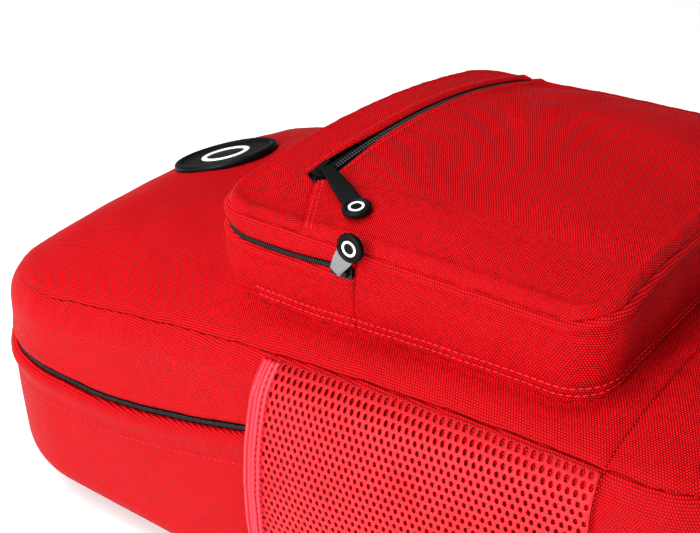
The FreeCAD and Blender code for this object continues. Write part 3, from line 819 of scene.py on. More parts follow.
def painted_metal():
    """Black enamel on zinc, worn to bare metal in small specks."""
    graph = Graph("painted_metal", 0.35, 0.35)
    worn = graph.ramp(graph.noise(graph.place(), 520.0, 5.0), 0.66, 0.72)
    fine = graph.noise(graph.place(), 2600.0, 2.0)
    colour = graph.mix(worn, (0.004, 0.004, 0.0045, 1), (0.05, 0.048, 0.046, 1))
    return graph.finish(colour, fine, 0.00004, 0.4, graph.ramp(fine, 0.2, 0.8, 0.28, 0.45))


def raised_white():
    graph = Graph("raised_white", 0.45, 0.4)
    grains = graph.noise(graph.place(), 1800.0, 2.0)
    colour = graph.mix(grains, (0.80, 0.80, 0.78, 1), (0.93, 0.93, 0.91, 1))
    return graph.finish(colour, grains, 0.00004, 0.4)


def pale_floor():
    graph = Graph("pale_floor", 0.9, 0.05)
    grains = graph.noise(graph.place(), 40.0, 4.0)
    return graph.finish(graph.mix(grains, (0.93, 0.93, 0.93, 1), (0.96, 0.96, 0.96, 1)))


RED = red_cloth()
NET = red_net()
ELASTIC = red_elastic()
THREAD = twisted_thread("red_thread", (0.95, 0.035, 0.055, 1), (0.60, 0.003, 0.012, 1), 0.5, 0.25)
DARK_RED_THREAD = twisted_thread("deep_red_thread", (0.30, 0.002, 0.008, 1), (0.14, 0.0, 0.003, 1), 0.6, 0.2)
DARK_THREAD = twisted_thread("dark_thread", (0.10, 0.10, 0.11, 1), (0.03, 0.03, 0.033, 1), 0.6, 0.3)
BLACK_WEBBING = webbing_weave("black_webbing", (0.006, 0.006, 0.007, 1), (0.05, 0.05, 0.054, 1))
GREY_WEBBING = moulded("grey_tape", (0.17, 0.17, 0.18, 1), (0.25, 0.25, 0.26, 1), 0.4)
ZIP_TAPE = webbing_weave("zip_cloth", (0.002, 0.002, 0.002, 1), (0.014, 0.014, 0.015, 1))
COIL = moulded("zip_nylon", (0.003, 0.003, 0.0034, 1), (0.012, 0.012, 0.013, 1), 0.24)
JET = (0.004, 0.004, 0.0045, 1)
SCUFFED_JET = (0.014, 0.014, 0.015, 1)
RUBBER = moulded("pull_rubber_skin", JET, SCUFFED_JET, 0.5, 1500.0, 0.14)
BADGE_SKIN = moulded("badge_skin", JET, SCUFFED_JET, 0.42, 900.0, 0.16)
BUCKLE = moulded("buckle_acetal", (0.016, 0.016, 0.018, 1), (0.08, 0.08, 0.085, 1), 0.42)
METAL = painted_metal()
WHITE = raised_white()
PAD = air_mesh()
LINER = moulded("liner_cloth", (0.05, 0.05, 0.056, 1), (0.12, 0.12, 0.13, 1), 0.8, 700.0, 0.2)
BOARD = moulded("fibre_board", (0.14, 0.13, 0.12, 1), (0.26, 0.25, 0.23, 1), 0.8, 400.0, 0.2)


# ======== front panel and base ========
def plan_grid(x, half_width, columns, surface):
    """A grid over a plan shape: every row at one x, from its near edge to its far edge."""
    share = np.linspace(-1, 1, columns)
    share = share * 0.72 + 0.28 * share**3
    xs = np.broadcast_to(x[:, None], (len(x), columns))
    ys = half_width[:, None] * share
    return np.stack([xs, ys, surface(xs, ys)], axis=-1), pair(xs, ys)


def laid_flat(points):
    """Cloth coordinates of a grid: the distance over the surface along its rows and its columns."""
    down = np.linalg.norm(np.diff(points, axis=0), axis=2)
    across = np.linalg.norm(np.diff(points, axis=1), axis=2)
    along_x = np.vstack([np.zeros(points.shape[1]), np.cumsum(down, axis=0)])
    along_y = np.hstack([np.zeros((points.shape[0], 1)), np.cumsum(across, axis=1)])
    middle = points.shape[1] // 2
    return np.stack([along_x, along_y - along_y[:, middle : middle + 1]], axis=-1)


def front_rows(x_low, x_high, radius_low, radius_high, step):
    """Row positions that stay close together round the outline's corners."""
    turn = np.linspace(0, math.pi / 2, 26)
    rows = [np.arange(x_low + radius_low, x_high - radius_high, step)]
    if radius_low:
        rows.insert(0, x_low + radius_low * (1 - np.cos(turn)))
    if radius_high:
        rows.append(x_high - radius_high * (1 - np.sin(turn)))
    rows.append(np.array([x_high]))
    return np.unique(np.round(np.concatenate(rows), 3))


def red_panel(name, grids, node, thickness=RED_THICKNESS):
    """A piece of the red cloth that is sewn to the pack."""
    return place(panels(name, grids, RED, thickness), "root", "red_oxford", node)


def front_and_base():
    inset = SEAM_INSET - 0.5
    rows = front_rows(PACK.x_low + inset, BASE_SEAM_X + 0.2, TOP_RADIUS - inset, 0.0, 3.0)
    whole = plan_grid(rows, PACK.half_width(rows, inset), 121, front_surface)
    red_panel("front_panel_cloth", [whole], "front_panel")
    rows = front_rows(BASE_SEAM_X - 0.2, PACK.x_high - inset, 0.0, BASE_RADIUS - inset, 2.0)
    top = plan_grid(rows, PACK.half_width(rows, inset), 101, front_surface)
    near = PACK.at_x(BASE_SEAM_X)
    red_panel("base_panel_cloth", [top, wall_grid(-near - 0.2, near + 0.2)], "base_panel")


# ======== side walls and the main zip ========
def wall_grid(start, end, step=3.0, rows=46, low=None, high=None, shape=None):
    """Part of the pack's side between two distances along its outline, from low to high."""
    distance = np.linspace(start, end, int((end - start) / step))
    walked = PACK.walk(distance)
    x, y = walked[:2]
    top = front_surface(*inset_point(x, y, SEAM_INSET)) if high is None else high(x)
    bottom = np.full_like(x, BACK_LOW[2] + 1.5) if low is None else low(x)
    share = np.linspace(0, 1, rows)[:, None]
    z = bottom + (top - bottom) * share
    offset = wall_offset(x, y, z, distance)
    if high is None:
        offset = offset - SEAM_TUCK * fade(top - z, 0.5)
    if shape is not None:
        offset = offset + shape(share, distance)
    return stand_out(walked, offset, z), pair(distance, z)


def rear_lip(share, distance):
    """The rear gusset's edge stands proud beside the zip, then folds in."""
    edge = (1 - share) * REAR_GUSSET_HEIGHT
    stand = LIP * mound(edge, 5, 5.5) - LIP_FOLD * fade(edge, 1.1)
    return stand + LIP_WAVE * ripple(distance, 31, 12.0) * fade(edge, 9)


def front_lip(share, distance):
    edge = share * FRONT_GUSSET_HEIGHT
    stand = FRONT_LIP * mound(edge, 4, 4) - 3.0 * fade(edge, 1.1)
    return stand + LIP_WAVE * ripple(distance, 32, 12.0) * fade(edge, 9)


def zip_strip(half, inset, rows):
    """A strip along the main zip, set in from the gussets on each side of it."""
    begin = PACK.at_x(ZIP_HIDDEN_X)
    distance = np.linspace(begin, PACK.length - begin, 300)
    walked = PACK.walk(distance)
    x, y = walked[:2]
    z = zip_height(x) + np.linspace(-half, half, rows)[:, None]
    return stand_out(walked, wall_offset(x, y, z, distance) - inset, z), pair(distance, z)


def zip_tape(node, grid):
    """The cloth tape that carries a zip's coil."""
    place(panels(node + "_cloth", [grid], ZIP_TAPE, TAPE_THICKNESS), "root", "zip_tape", node)


def zip_teeth(name, path, out, node, pitch=1.3, width=4.0):
    """The two interlocking rows of a coil zip, with the cord that runs between them."""
    template, faces = bead(0.95 * pitch, 0.58 * width, 1.2, 5, 6)
    points, direction = spaced(path, pitch / 2)
    nearest = np.array([np.argmin(((path - point) ** 2).sum(1)) for point in points])
    axes = facing_axes(direction, out[nearest])
    swing = np.where(np.arange(len(points)) % 2 == 0, 0.14, -0.14) * width
    piece = stamped(name, template, faces, points + axes[:, 1] * swing[:, None], axes, COIL)
    return place(piece, "root", "zip_coil", node)


def side_walls():
    begin, middle = PACK.at_x(ZIP_HIDDEN_X), PACK.at_x(BASE_SEAM_X)
    for name, start, end in (
        ("left", middle - 0.2, begin + 0.4),
        ("right", PACK.length - begin - 0.4, PACK.length - middle + 0.2),
    ):
        red_panel("side_wall_%s_cloth" % name, [wall_grid(start, end)], "side_wall_" + name)
    far = PACK.length - begin
    rear = wall_grid(begin, far, 2.5, 60, high=lambda x: zip_height(x) - ZIP_SLIT, shape=rear_lip)
    red_panel("rear_gusset_cloth", [rear], "rear_gusset")
    front = wall_grid(begin, far, 2.5, 60, low=lambda x: zip_height(x) + ZIP_SLIT, shape=front_lip)
    red_panel("front_gusset_cloth", [front], "front_gusset")
    zip_tape("main_zip_tape", zip_strip(6.0, 2.6, 9))
    path, _ = zip_strip(0.0, 1.7, 1)
    distance = np.linspace(begin, far, 300)
    walked = PACK.walk(distance)
    x, y = walked[:2]
    zip_teeth("main_zip_teeth", path[0], outwards(walked), "main_zip_coil")
    z = zip_height(x) - GUSSET_STITCH_DROP
    line = stand_out(walked, wall_offset(x, y, z, distance) + 0.2, z)
    stitches("gusset_stitches", [line], [outwards(walked)], THREAD, "root", "red_oxford", 4.0, 2.4, 0.5)


def back_panel():
    inset = LOWER_CURL * 0.55
    rows = front_rows(PACK.x_low + inset, PACK.x_high - inset, TOP_RADIUS - inset, BASE_RADIUS - inset, 6.0)

    def surface(x, y):
        edge = np.maximum(PACK.depth(x, y) - inset, 0)
        return BACK_HIGH[2] - 1.5 + 0.8 * (1 - fade(edge, 6)) + 0.3 * rumple(x, y, 41)

    grid = plan_grid(rows, PACK.half_width(rows, inset), 71, surface)
    red_panel("back_panel_cloth", [grid], "back_panel", 3.2)
    walked = PACK.walk(np.linspace(0, PACK.length, 420)[:-1])
    path = stand_out(walked, 0.6 - inset, BACK_LOW[2] + 1.6)
    piping = sweep("back_piping", path, (0, 0, 1), 1.8, 1.6, BLACK_WEBBING, 2.0, 10, closed=True)
    place(piping, "root", "webbing")


# ======== front pocket ========
def closer_at_ends(count):
    """Shares from 0 to 1 with smaller steps near both ends."""
    share = np.linspace(0, 1, count)
    return share - 0.8 * np.sin(2 * math.pi * share) / (2 * math.pi)


def pocket_face():
    radius = POCKET_RADIUS - RIDGE_INSET
    straight = POCKET.half - POCKET_RADIUS
    turned = straight + radius * np.sin(np.linspace(0, math.pi / 2, 24))
    y = np.concatenate([-turned[::-1], np.linspace(-straight, straight, 120)[1:-1], turned])
    over = np.maximum(np.abs(y) - straight, 0)
    rounding = POCKET_RADIUS - np.sqrt(np.maximum(radius**2 - over**2, 0))
    low_edge, high_edge = POCKET.x_low + rounding, POCKET.x_high - rounding
    seam = slant_x(y)
    gap = slit_half(y)
    for name, start, end, count in (
        ("upper", low_edge, seam - gap, 34),
        ("lower", seam + gap, high_edge, 110),
    ):
        share = closer_at_ends(count)[:, None]
        xs = start + (end - start) * share
        ys = np.broadcast_to(y, xs.shape)
        points = np.stack([xs, ys, pocket_surface(xs, ys)], axis=-1)
        red_panel("pocket_face_%s_cloth" % name, [(points, laid_flat(points))], "pocket_face_" + name)


def pocket_side(node, start, end, part="whole"):
    """The pocket's side wall between two distances: all of it, or the strip under or over the zip."""
    distance = np.linspace(start, end, int((end - start) / 2.0))
    walked = POCKET.walk(distance)
    x, y = walked[:2]
    bottom = front_height(x, y) - 1.0
    top = pocket_height(x, y) - RIDGE_TUCK
    low = side_slit_height(x) + SIDE_SLIT_HALF if part == "over zip" else bottom
    high = side_slit_height(x) - SIDE_SLIT_HALF if part == "under zip" else top
    count = max(16, int(np.max(high - low) / 1.0))
    share = closer_at_ends(count)[:, None]
    z = low + (high - low) * share
    offset = pocket_wall_offset(distance, (z - bottom) / (top - bottom), x)
    for height in FOOT_STITCH_HEIGHTS:
        offset = offset - CORNER_VALLEY * mound(z - bottom, height, 0.8)
    if part == "over zip":
        offset = offset + 0.7 * mound(z - low, 3, 2.2) - WALL_FOLD * fade(z - low, 0.8)
    if part == "under zip":
        offset = offset + 0.9 * mound(high - z, 3, 2.2) - WALL_FOLD * fade(high - z, 0.8)
    red_panel(node + "_cloth", [(stand_out(walked, offset, z), pair(distance, z))], node)


def pocket_walls():
    near = POCKET.at_x(SIDE_SEAM_X)
    far = POCKET.length - near
    pocket_side("pocket_gusset_back", near, far, "under zip")
    pocket_side("pocket_gusset_front", near, far, "over zip")
    pocket_side("pocket_wall", -near - 0.2, near + 0.2)
    distance = np.linspace(near + 0.5, far - 0.5, 200)
    walked = POCKET.walk(distance)
    x = walked[0]
    z = side_slit_height(x) + np.linspace(-4.5, 4.5, 7)[:, None]
    offset = pocket_wall_offset(distance, np.full_like(z, 0.6), x) - 2.6
    points = stand_out(walked, offset, z)
    zip_tape("side_zip_tape", (points, pair(distance, z)))
    out = outwards(walked)
    zip_teeth("side_zip_teeth", points[3] + out * 0.8, out, "side_zip_coil")


def pocket_zip():
    y = np.linspace(POCKET_ZIP_NEAR + 0.5, POCKET_ZIP_FAR - 0.5, 120)
    x = POCKET_ZIP_X + np.linspace(-5.5, 5.5, 9)[:, None]
    xs, ys = np.broadcast_arrays(x, y)
    zs = pocket_height(xs, ys) - 2.6
    points = np.stack([xs, ys, zs], axis=-1)
    zip_tape("pocket_zip_tape", (points, pair(ys, xs)))
    path = points[4] + np.array([0.0, 0.0, 0.9])
    out = np.broadcast_to(np.array([0.0, 0.0, 1.0]), path.shape)
    zip_teeth("pocket_zip_teeth", path, out, "pocket_zip_coil", 1.9, 6.2)


def pocket_stitching():
    """Top-stitching beside the zip, along the slanting seam and round the pocket's foot."""
    paths = []
    beside_zip = np.linspace(POCKET_ZIP_NEAR + 2, POCKET_ZIP_FAR - 2, 90)
    beside_slant = np.linspace(-POCKET.half + 2, POCKET_ZIP_NEAR - 1, 20)
    for y, offset in ((beside_zip, -8.2), (beside_zip, 8.2), (beside_slant, 2.2), (beside_slant, 5.0)):
        x = slant_x(y) + offset
        paths.append(np.stack([x, y, pocket_surface(x, y) + 0.15], axis=-1))
    up = [(0, 0, 1)] * len(paths)
    stitches("pocket_face_stitches", paths, up, THREAD, "root", "red_oxford", 3.2, 2.4, 0.55)
    near = POCKET.at_x(-20.0)
    distance = np.linspace(-near, near, 300)
    walked = POCKET.walk(distance)
    x, y = walked[:2]
    bottom = front_height(x, y) - 1.0
    top = pocket_height(x, y) - RIDGE_TUCK
    paths = []
    for height in FOOT_STITCH_HEIGHTS:
        offset = pocket_wall_offset(distance, height / (top - bottom), x) - 0.35
        paths.append(stand_out(walked, offset, bottom + height))
    outs = [outwards(walked)] * len(paths)
    stitches("pocket_foot_stitches", paths, outs, THREAD, "root", "red_oxford", 3.4, 2.7, 0.8)


# ======== mesh side pockets ========
def perforated(name, surface, x_low, x_high, height, material):
    """A sheet full of oval holes in staggered rows, mapped onto a curved surface."""
    columns = int((x_high - x_low) / HOLE_PITCH_X)
    rows = int(height / HOLE_PITCH_Z)
    pitch_x, pitch_z = (x_high - x_low) / columns, height / rows
    lattice_x, lattice_z = 2 * columns + 1, 2 * rows + 1
    flat = [(x_low + i * pitch_x / 2, j * pitch_z / 2) for j in range(lattice_z) for i in range(lattice_x)]
    faces = []
    corners = ((0, 0), (1, 0), (2, 0), (2, 1), (2, 2), (1, 2), (0, 2), (0, 1))
    for row in range(rows):
        first = row % 2
        for column in range(columns - first):
            left, low = 2 * column + first, 2 * row
            ring = [(low + b) * lattice_x + left + a for a, b in corners]
            begin = len(flat)
            for a, b in corners:
                angle = math.atan2(b - 1, a - 1)
                flat.append((
                    x_low + (left + 1) * pitch_x / 2 + HOLE_HALF_X * math.cos(angle),
                    (low + 1) * pitch_z / 2 + HOLE_HALF_Z * math.sin(angle),
                ))
            for k in range(8):
                after = (k + 1) % 8
                faces.append((ring[k], ring[after], begin + after, begin + k))
        if first:
            for left in (0, lattice_x - 2):
                for low in (2 * row, 2 * row + 1):
                    corner = low * lattice_x + left
                    faces.append((corner, corner + 1, corner + lattice_x + 1, corner + lattice_x))
    flat = np.array(flat)
    faces = np.array(faces)
    x, share = flat[:, 0], flat[:, 1] / height
    outer = surface(x, share)
    step_x = surface(x + 0.5, share) - surface(x - 0.5, share)
    step_z = surface(x, share + 0.004) - surface(x, share - 0.004)
    normal = unit(np.cross(step_x, step_z))
    count = len(flat)
    edges = np.concatenate([faces[:, [k, (k + 1) % 4]] for k in range(4)])
    seen = {}
    for a, b in edges.tolist():
        key = (min(a, b), max(a, b))
        seen[key] = None if key in seen else (a, b)
    open_edges = np.array([pair for pair in seen.values() if pair is not None])
    one, other = open_edges[:, 0], open_edges[:, 1]
    walls = np.stack([other, one, one + count, other + count], axis=-1)
    points = np.concatenate([outer, outer - normal * MESH_THICKNESS])
    all_faces = np.concatenate([faces, faces[:, ::-1] + count, walls])
    piece = build(name, points, all_faces, material, np.concatenate([flat, flat]))
    return piece


def mesh_pockets():
    for side, name in ((-1, "left"), (1, "right")):

        def surface(x, share, side=side):
            """Mirrored on the far side by walking it the other way, so its face stays outside."""
            share = np.clip(share, 0.002, 0.998)
            if side > 0:
                share = 1 - share
            return mesh_point(x, share, side)

        node = "mesh_pocket_" + name
        net = perforated(node + "_net", surface, BINDING_HIGH[0], BASE_SEAM_X - 0.5, MESH_HEIGHT, NET)
        place(net, "root", "red_mesh", node)
        binding(side, name)


def binding(side, name):
    """The elastic binding along the mouth: two ribs, a row of stitches and a zigzag edge."""
    share = np.linspace(0.004, 0.996, 150)
    if side > 0:
        share = share[::-1]
    across = np.linspace(0, 1, 33)[:, None]
    x = BINDING_LOW[0] + (BINDING_HIGH[0] + 1.0 - BINDING_LOW[0]) * across
    ribs = 0.9 * mound(across, 0.24, 0.13) + 0.75 * mound(across, 0.60, 0.12)
    roll = -1.2 * fade(across, 0.05)
    xs, shares = np.broadcast_arrays(x, share)
    xs = xs + 0.35 * np.sin(shares * 260) * smooth((across - 0.85) / 0.15)
    lift = ribs + roll + 0.9 + 0.08 * np.sin(shares * 700)
    points = mesh_point(xs, shares, side, lift)
    travelled = shares * float(np.linalg.norm(points[0, -1] - points[0, 0]))
    node = "mesh_binding_" + name
    strip = panels(node + "_elastic", [(points, pair(xs, travelled))], ELASTIC, 1.3)
    place(strip, "root", "red_binding", node)
    row = np.full_like(share, BINDING_LOW[0] + 0.82 * (BINDING_HIGH[0] - BINDING_LOW[0]))
    path = mesh_point(row, share, side, np.full_like(share, 1.15))
    out = [(0, side, 0)]
    stitches(node + "_stitches", [path], out, DARK_RED_THREAD, "root", "red_binding", 3.3, 1.3, 0.7)


# ======== badge, sliders and pulls ========
def node_plane(node):
    """Centre of a flat round CAD node, and its thin direction, pointing away from the pack."""
    points = node_points(node)
    centre = (points.max(0) + points.min(0)) / 2
    _, _, directions = np.linalg.svd(points - points.mean(0))
    axis = directions[2]
    outwards = np.dot(axis, centre - np.array([0.0, 0.0, BACK_HIGH[2]])) > 0
    return centre, axis if outwards else -axis


def raised_ring(inner, outer, height, shoulder, chamfer):
    """The closed outline of a flat ring with softened upper edges, sunk a little into its disc."""
    sunk = -0.2
    return [
        (inner, sunk), (outer, sunk), (outer, shoulder), (outer - chamfer, height),
        (inner + chamfer, height), (inner, shoulder), (inner, sunk),
    ]


def badge():
    ring_centre, axis = node_plane("badge_ring")
    top = ring_centre - axis * 0.3
    profile = [
        (0.5, -3.4), (29.5, -3.4), (31.4, -2.6), (32.0, -1.2), (31.9, 0.0), (31.2, 0.9), (30.0, 1.15),
        (28.8, 0.9), (28.0, 0.1), (27.0, -0.1), (20.0, 0.0), (8.0, 0.0), (0.5, 0.0),
    ]
    disc = lathe("badge_disc", profile, top, axis, BADGE_SKIN, 96)
    place(disc, "root", "pull_rubber", "badge")
    ring = lathe("badge_ring_print", raised_ring(11.5, 15.0, 0.6, 0.35, 0.4), top, axis, WHITE, 96)
    place(ring, "root", "mark_white", "badge_ring")


def pull(body, node, tab_material, tab_slot):
    """A flexible tab that widens from the slider to a moulded disc with a raised rim and ring."""
    joint = JOINTS[body + "_swing"]
    start = np.array(joint["pos_m"]) / MM
    swing = np.array(joint["axis"])
    disc_node = node + "_disc"
    centre, axis = node_plane(disc_node)
    direction = unit(centre - start)
    out = unit(np.cross(swing, direction))
    out = out if np.dot(out, axis) >= 0 else -out
    length = np.linalg.norm(centre - start) - 4.0
    share = np.linspace(0, 1, 40)
    bow = 0.7 * np.sin(math.pi * share)
    path = start + direction * (share[:, None] * length) + out * bow[:, None]
    tab = sweep(body + "_tab", path, out, 3.2 + 1.5 * smooth(share * 1.2), 0.8, tab_material, 5.0, 20)
    place(tab, body, tab_slot, node)
    half = PULL_DISC_HALF
    top = half - 0.55
    profile = [
        (0.3, -half), (5.9, -half), (6.6, -half + 0.5), (6.9, -half + 1.2), (6.9, half - 1.0),
        (6.5, half - 0.3), (5.9, half), (5.3, half - 0.1), (4.9, top), (0.3, top),
    ]
    disc = lathe(body + "_disc", profile, centre, out, RUBBER, 48)
    place(disc, body, "pull_rubber", disc_node)
    mark = raised_ring(2.6, 3.8, 0.22, 0.12, 0.2)
    ring = lathe(body + "_mark", mark, centre + out * top, out, WHITE, 40)
    place(ring, body, "mark_white")


def pulls():
    pull("pocket_pull", "pocket_pull", RUBBER, "pull_rubber")
    pull("side_pull", "side_pull", GREY_WEBBING, "grey_webbing")
    pull("main_pull_left", "main_left_pull", RUBBER, "pull_rubber")
    pull("main_pull_right", "main_right_pull", RUBBER, "pull_rubber")


def kept_nodes():
    """CAD nodes whose own shape is right get a finish and, where it is moulded, softened edges."""
    finishes = {
        "main_slider_left": METAL, "main_slider_right": METAL, "pocket_slider": METAL, "side_slider": METAL,
        "ladder_lock_left": BUCKLE, "ladder_lock_right": BUCKLE, "base_board": BOARD,
    }
    for name, material in finishes.items():
        node = frame["nodes"][name]
        node.data.materials.clear()
        node.data.materials.append(material)
        bevel = node.modifiers.new("soft_edges", "BEVEL")
        bevel.width = 0.0003
        bevel.segments = 2
        bevel.limit_method = "ANGLE"


# ======== pads, straps and handle ========
CHANNEL_DEPTH = 3.6
PAD_VOXEL = 0.0045
PAD_SHRINK = 0.0016
PAD_PRESSURE = 4.0
SWELL_FRAMES = 15


def stuffed(name, node, body, floor, ceiling, channels, swell=3.0):
    """A foam pad: the CAD solid shrunk a little, swollen as cloth, then sewn across in channels."""
    source = frame["nodes"][node]
    piece = bpy.data.objects.new(name, source.data.copy())
    bpy.context.scene.collection.objects.link(piece)
    piece.data.materials.clear()
    piece.data.materials.append(PAD)
    remesh = piece.modifiers.new("even_mesh", "REMESH")
    remesh.mode = "VOXEL"
    remesh.voxel_size = PAD_VOXEL
    apply_modifiers(piece)
    before = coordinates(piece)
    normals = np.zeros(len(before) * 3, np.float32)
    piece.data.vertices.foreach_get("normal", normals)
    shrunk = before - normals.reshape(-1, 3) * PAD_SHRINK
    set_coordinates(piece, shrunk)
    swollen = simulate_cloth(piece)
    move = swollen - shrunk
    far = np.linalg.norm(move, axis=1, keepdims=True)
    move *= np.minimum(1, swell * MM / np.maximum(far, 1e-9))
    set_coordinates(piece, shrunk + move)
    points = coordinates(piece) / MM
    for along in channels:
        points[:, 2] += channel_depth(points, along, floor)
    points[:, 2] = np.clip(points[:, 2], floor, ceiling)
    set_coordinates(piece, points * MM)
    smoother = piece.modifiers.new("round", "SUBSURF")
    smoother.levels = smoother.render_levels = 1
    apply_modifiers(piece)
    piece.data.polygons.foreach_set("use_smooth", [True] * len(piece.data.polygons))
    return place(piece, body, "pad_mesh", node)


def channel_depth(points, along, floor):
    """A sewn channel across the pad at this x, pressed up into its lower face."""
    lower = smooth((floor + 8 - points[:, 2]) / 6)
    return CHANNEL_DEPTH * lower * mound(points[:, 0], along, 3.2)


def coordinates(piece):
    values = np.zeros(len(piece.data.vertices) * 3, np.float32)
    piece.data.vertices.foreach_get("co", values)
    return values.reshape(-1, 3).astype(float)


def set_coordinates(piece, points):
    piece.data.vertices.foreach_set("co", np.asarray(points, np.float32).ravel())
    piece.data.update()


def apply_modifiers(piece):
    shown = piece.evaluated_get(bpy.context.evaluated_depsgraph_get())
    mesh = bpy.data.meshes.new_from_object(shown)
    piece.modifiers.clear()
    piece.data = mesh


def simulate_cloth(piece):
    """Where the piece's points settle after its cloth has been blown up a little, with no gravity."""
    scene = bpy.context.scene
    cloth = piece.modifiers.new("swell", "CLOTH")
    cloth.settings.effector_weights.gravity = 0
    cloth.settings.use_pressure = True
    cloth.settings.uniform_pressure_force = PAD_PRESSURE
    cloth.settings.quality = 4
    for number in range(1, SWELL_FRAMES + 1):
        scene.frame_set(number)
    shown = piece.evaluated_get(bpy.context.evaluated_depsgraph_get())
    settled = np.zeros(len(shown.data.vertices) * 3, np.float32)
    shown.data.vertices.foreach_get("co", settled)
    piece.modifiers.clear()
    scene.frame_set(1)
    return settled.reshape(-1, 3).astype(float)


def pads_and_straps():
    ceiling = BACK_LOW[2] - 0.2
    spine_low, spine_high = node_box("spine_pad")
    spine_channels = np.linspace(spine_low[0], spine_high[0], 7)[1:-1]
    stuffed("spine_pad_foam", "spine_pad", "root", 0.3, ceiling, spine_channels)
    lumbar_low, lumbar_high = node_box("lumbar_pad")
    stuffed("lumbar_pad_foam", "lumbar_pad", "root", 0.3, ceiling, [(lumbar_low[0] + lumbar_high[0]) / 2])
    stuffed("yoke_pad_foam", "yoke_pad", "root", 0.3, ceiling, [])
    for name in ("left", "right"):
        body = "strap_" + name
        strap_node = "shoulder_strap_" + name
        low, high = node_box(strap_node)
        channels = [low[0] + 22, high[0] - 18]
        stuffed(strap_node + "_foam", strap_node, body, low[2] + 0.4, high[2] - 0.2, channels, 2.2)
        webbing(name)


def webbing(name):
    """The strap's lower webbing, from its ladder lock to the folded tab on the pack's corner."""
    node = "strap_webbing_" + name
    points = node_points(node)
    low, high = points.min(0), points.max(0)
    middle = (low + high) / 2
    first = points[points[:, 0] < middle[0]].mean(0)
    last = points[points[:, 0] > middle[0]].mean(0)
    share = np.linspace(0, 1, 60)
    path = first + (last - first) * share[:, None]
    path[:, 2] = middle[2] - 1.2 * np.sin(math.pi * share)
    band = sweep(node + "_band", path, (0, 0, 1), 12.4, 0.85, BLACK_WEBBING, 8.0, 24)
    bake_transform(band)
    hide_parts(node)
    anchor_tab(name, last, unit(last - first))


def anchor_tab(name, last, direction):
    """The folded tab that widens into the corner seam, with a sewn cross over the webbing's end."""
    across = np.array([-direction[1], direction[0], 0.0])
    node = "anchor_tab_" + name
    tab_points = node_points(node)
    underside = tab_points[:, 2].min()
    reach = (tab_points - last) @ direction
    sideways = (tab_points - last) @ across
    along = np.linspace(reach.min() + 0.3, reach.max() - 0.3, 26)
    tip_half = np.ptp(sideways[reach < reach.min() + 4]) / 2
    base_half = np.ptp(sideways[reach > reach.max() - 16]) / 2
    half = tip_half + (base_half - tip_half) * (along - along[0]) / (along[-1] - along[0])
    rows = np.linspace(-1, 1, 21)
    grid = last + direction * along[:, None, None] + across * (half[:, None] * rows)[..., None] * 0.94
    edge = np.minimum(1 - np.abs(rows)[None, :], 0.2) / 0.2
    grid[..., 2] = underside + 0.7 - 0.4 * edge
    cloth = pair(along[:, None], half[:, None] * rows)
    red_panel(node + "_cloth", [(grid[:, ::-1], cloth)], node, 1.8)
    lines = []
    for turn in (1, -1):
        start = last - direction * 6 - across * 9 * turn
        end = last + direction * 8 + across * 9 * turn
        line = np.linspace(start, end, 12)
        line[:, 2] = underside + 0.1
        lines.append(line)
    down = [(0, 0, -1)] * 2
    stitches("anchor_stitches_" + name, lines, down, DARK_THREAD, "root", "webbing", 3.0, 2.4, 0.6)


def handle():
    """The folded webbing loop at the top, thicker in the hand, with a sewn box at each end."""
    low, high = node_box("grab_handle")
    half_span = (high[1] - low[1]) / 2 - 6.0
    rise = high[2] - low[2] - 6.0
    radius = (half_span**2 + rise**2) / (2 * rise)
    limit = math.asin(min(1.0, half_span / radius))
    turn = np.linspace(-limit, limit, 90)
    x = (low[0] + high[0]) / 2
    path = np.stack([
        np.full_like(turn, x),
        radius * np.sin(turn),
        low[2] + 1.0 + radius * (np.cos(turn) - math.cos(limit)),
    ], axis=-1)
    grip = smooth((limit * 0.62 - np.abs(turn)) / (limit * 0.2))
    wide, high_half = 5.9 - 0.8 * grip, 1.5 + 0.9 * grip
    band = sweep("grab_handle_band", path, (-1, 0, 0), wide, high_half, BLACK_WEBBING, 5.0, 24)
    place(band, "handle", "webbing", "grab_handle")
    lines = []
    for side in (-1, 1):
        for across in (-3.6, 3.6):
            section = path[3:17] if side < 0 else path[-17:-3]
            outward = unit(section - np.array([x, 0.0, low[2] + 1.0 - radius * math.cos(limit)]))
            line = section + outward * across
            line[:, 0] = low[0] + 0.75
            lines.append(line)
    stitches("grab_handle_stitches", lines, [(-1, 0, 0)] * 4, DARK_THREAD, "handle", "webbing", 2.8, 2.2, 0.5)


# ======== inside ========
def laptop_sleeve():
    """The padded divider, quilted in wide diamonds."""
    x = np.linspace(SLEEVE_LOW[0] + 3, SLEEVE_HIGH[0] - 2, 90)
    half = PACK.half_width(x, 8.0)

    def surface(xs, ys):
        quilt = np.abs(np.sin((xs + ys) * math.pi / 46)) * np.abs(np.sin((xs - ys) * math.pi / 46))
        return SLEEVE_LOW[2] + 3.4 + 1.2 * quilt**0.5

    points, cloth = plan_grid(x, half, 71, surface)
    piece = build_solid("laptop_sleeve_quilt", points, 3.0, cloth, LINER)
    place(piece, "root", "foam_liner", "laptop_sleeve")


def build_solid(name, points, thickness, cloth, material):
    solid, faces = grid_solid(points, thickness)
    flat = cloth.reshape(-1, 2)
    return build(name, solid, faces, material, np.concatenate([flat, flat]))


# ======== camera, light and floor ========
AIM = (0.0315, -0.119, 0.193)
AZIMUTH = 36.87
ELEVATION = 27.14
CAMERA_DISTANCE = 0.555
LENS = 63.64


def aimed(thing, place_at, aim):
    thing.location = place_at
    thing.rotation_euler = (Vector(aim) - Vector(place_at)).to_track_quat("-Z", "Y").to_euler()
    bpy.context.scene.collection.objects.link(thing)
    return thing


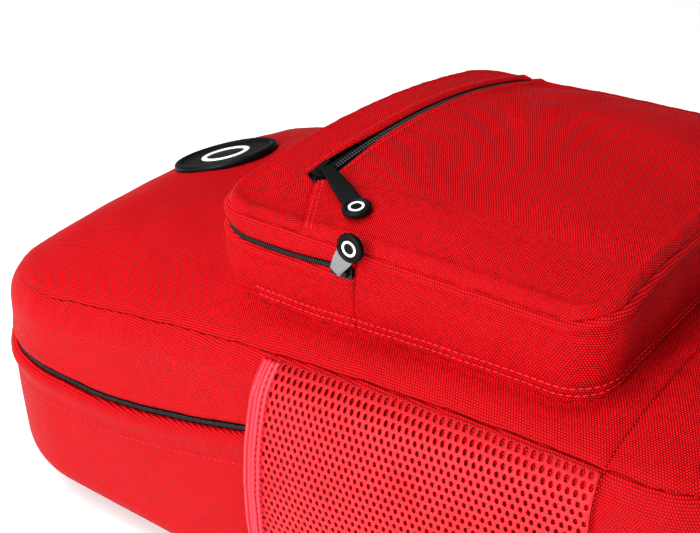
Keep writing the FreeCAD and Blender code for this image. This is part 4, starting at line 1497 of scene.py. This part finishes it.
def around(aim, azimuth, elevation, distance):
    """The point at that distance from aim; azimuth 0 is on the near side and 90 is past the base."""
    a, e = math.radians(azimuth), math.radians(elevation)
    away = Vector((math.sin(a) * math.cos(e), -math.cos(a) * math.cos(e), math.sin(e)))
    return Vector(aim) + away * distance


def camera():
    data = bpy.data.cameras.new("camera")
    data.lens = LENS
    data.sensor_width = 36.0
    data.clip_start = 0.01
    eye = aimed(bpy.data.objects.new("camera", data), around(AIM, AZIMUTH, ELEVATION, CAMERA_DISTANCE), AIM)
    bpy.context.scene.camera = eye


def softbox(name, azimuth, elevation, distance, size, power):
    data = bpy.data.lights.new(name, "AREA")
    data.size = size
    data.energy = power
    aim = (0.0, 0.0, 0.1)
    aimed(bpy.data.objects.new(name, data), around(aim, azimuth, elevation, distance), aim)


def light_and_floor():
    softbox("key_light", 8.0, 26.0, 2.2, 1.3, 52.0)
    softbox("top_light", -60.0, 66.0, 2.4, 1.8, 44.0)
    world = bpy.data.worlds.new("studio")
    world.use_nodes = True
    background = world.node_tree.nodes["Background"]
    background.inputs["Color"].default_value = (1.0, 1.0, 1.0, 1.0)
    nodes = world.node_tree.nodes
    direction = nodes.new("ShaderNodeTexCoord")
    split = nodes.new("ShaderNodeSeparateXYZ")
    fall = nodes.new("ShaderNodeMapRange")
    fall.interpolation_type = "SMOOTHSTEP"
    for name, number in (("From Min", -0.3), ("From Max", 0.35), ("To Min", 0.58), ("To Max", 0.10)):
        fall.inputs[name].default_value = number
    world.node_tree.links.new(direction.outputs["Generated"], split.inputs[0])
    world.node_tree.links.new(split.outputs[1], fall.inputs["Value"])
    world.node_tree.links.new(fall.outputs["Result"], background.inputs["Strength"])
    bpy.context.scene.world = world
    half = 3.0
    corners = [(-half, -half, 0), (half, -half, 0), (half, half, 0), (-half, half, 0)]
    floor = build("floor", np.array(corners) / MM, [(0, 1, 2, 3)], pale_floor())
    bpy.context.scene.view_settings.view_transform = "Standard"
    bpy.context.scene.view_settings.look = "Medium High Contrast"


front_and_base()
side_walls()
back_panel()
pocket_face()
pocket_walls()
pocket_zip()
pocket_stitching()
mesh_pockets()
badge()
pulls()
kept_nodes()
pads_and_straps()
handle()
laptop_sleeve()
camera()
light_and_floor()
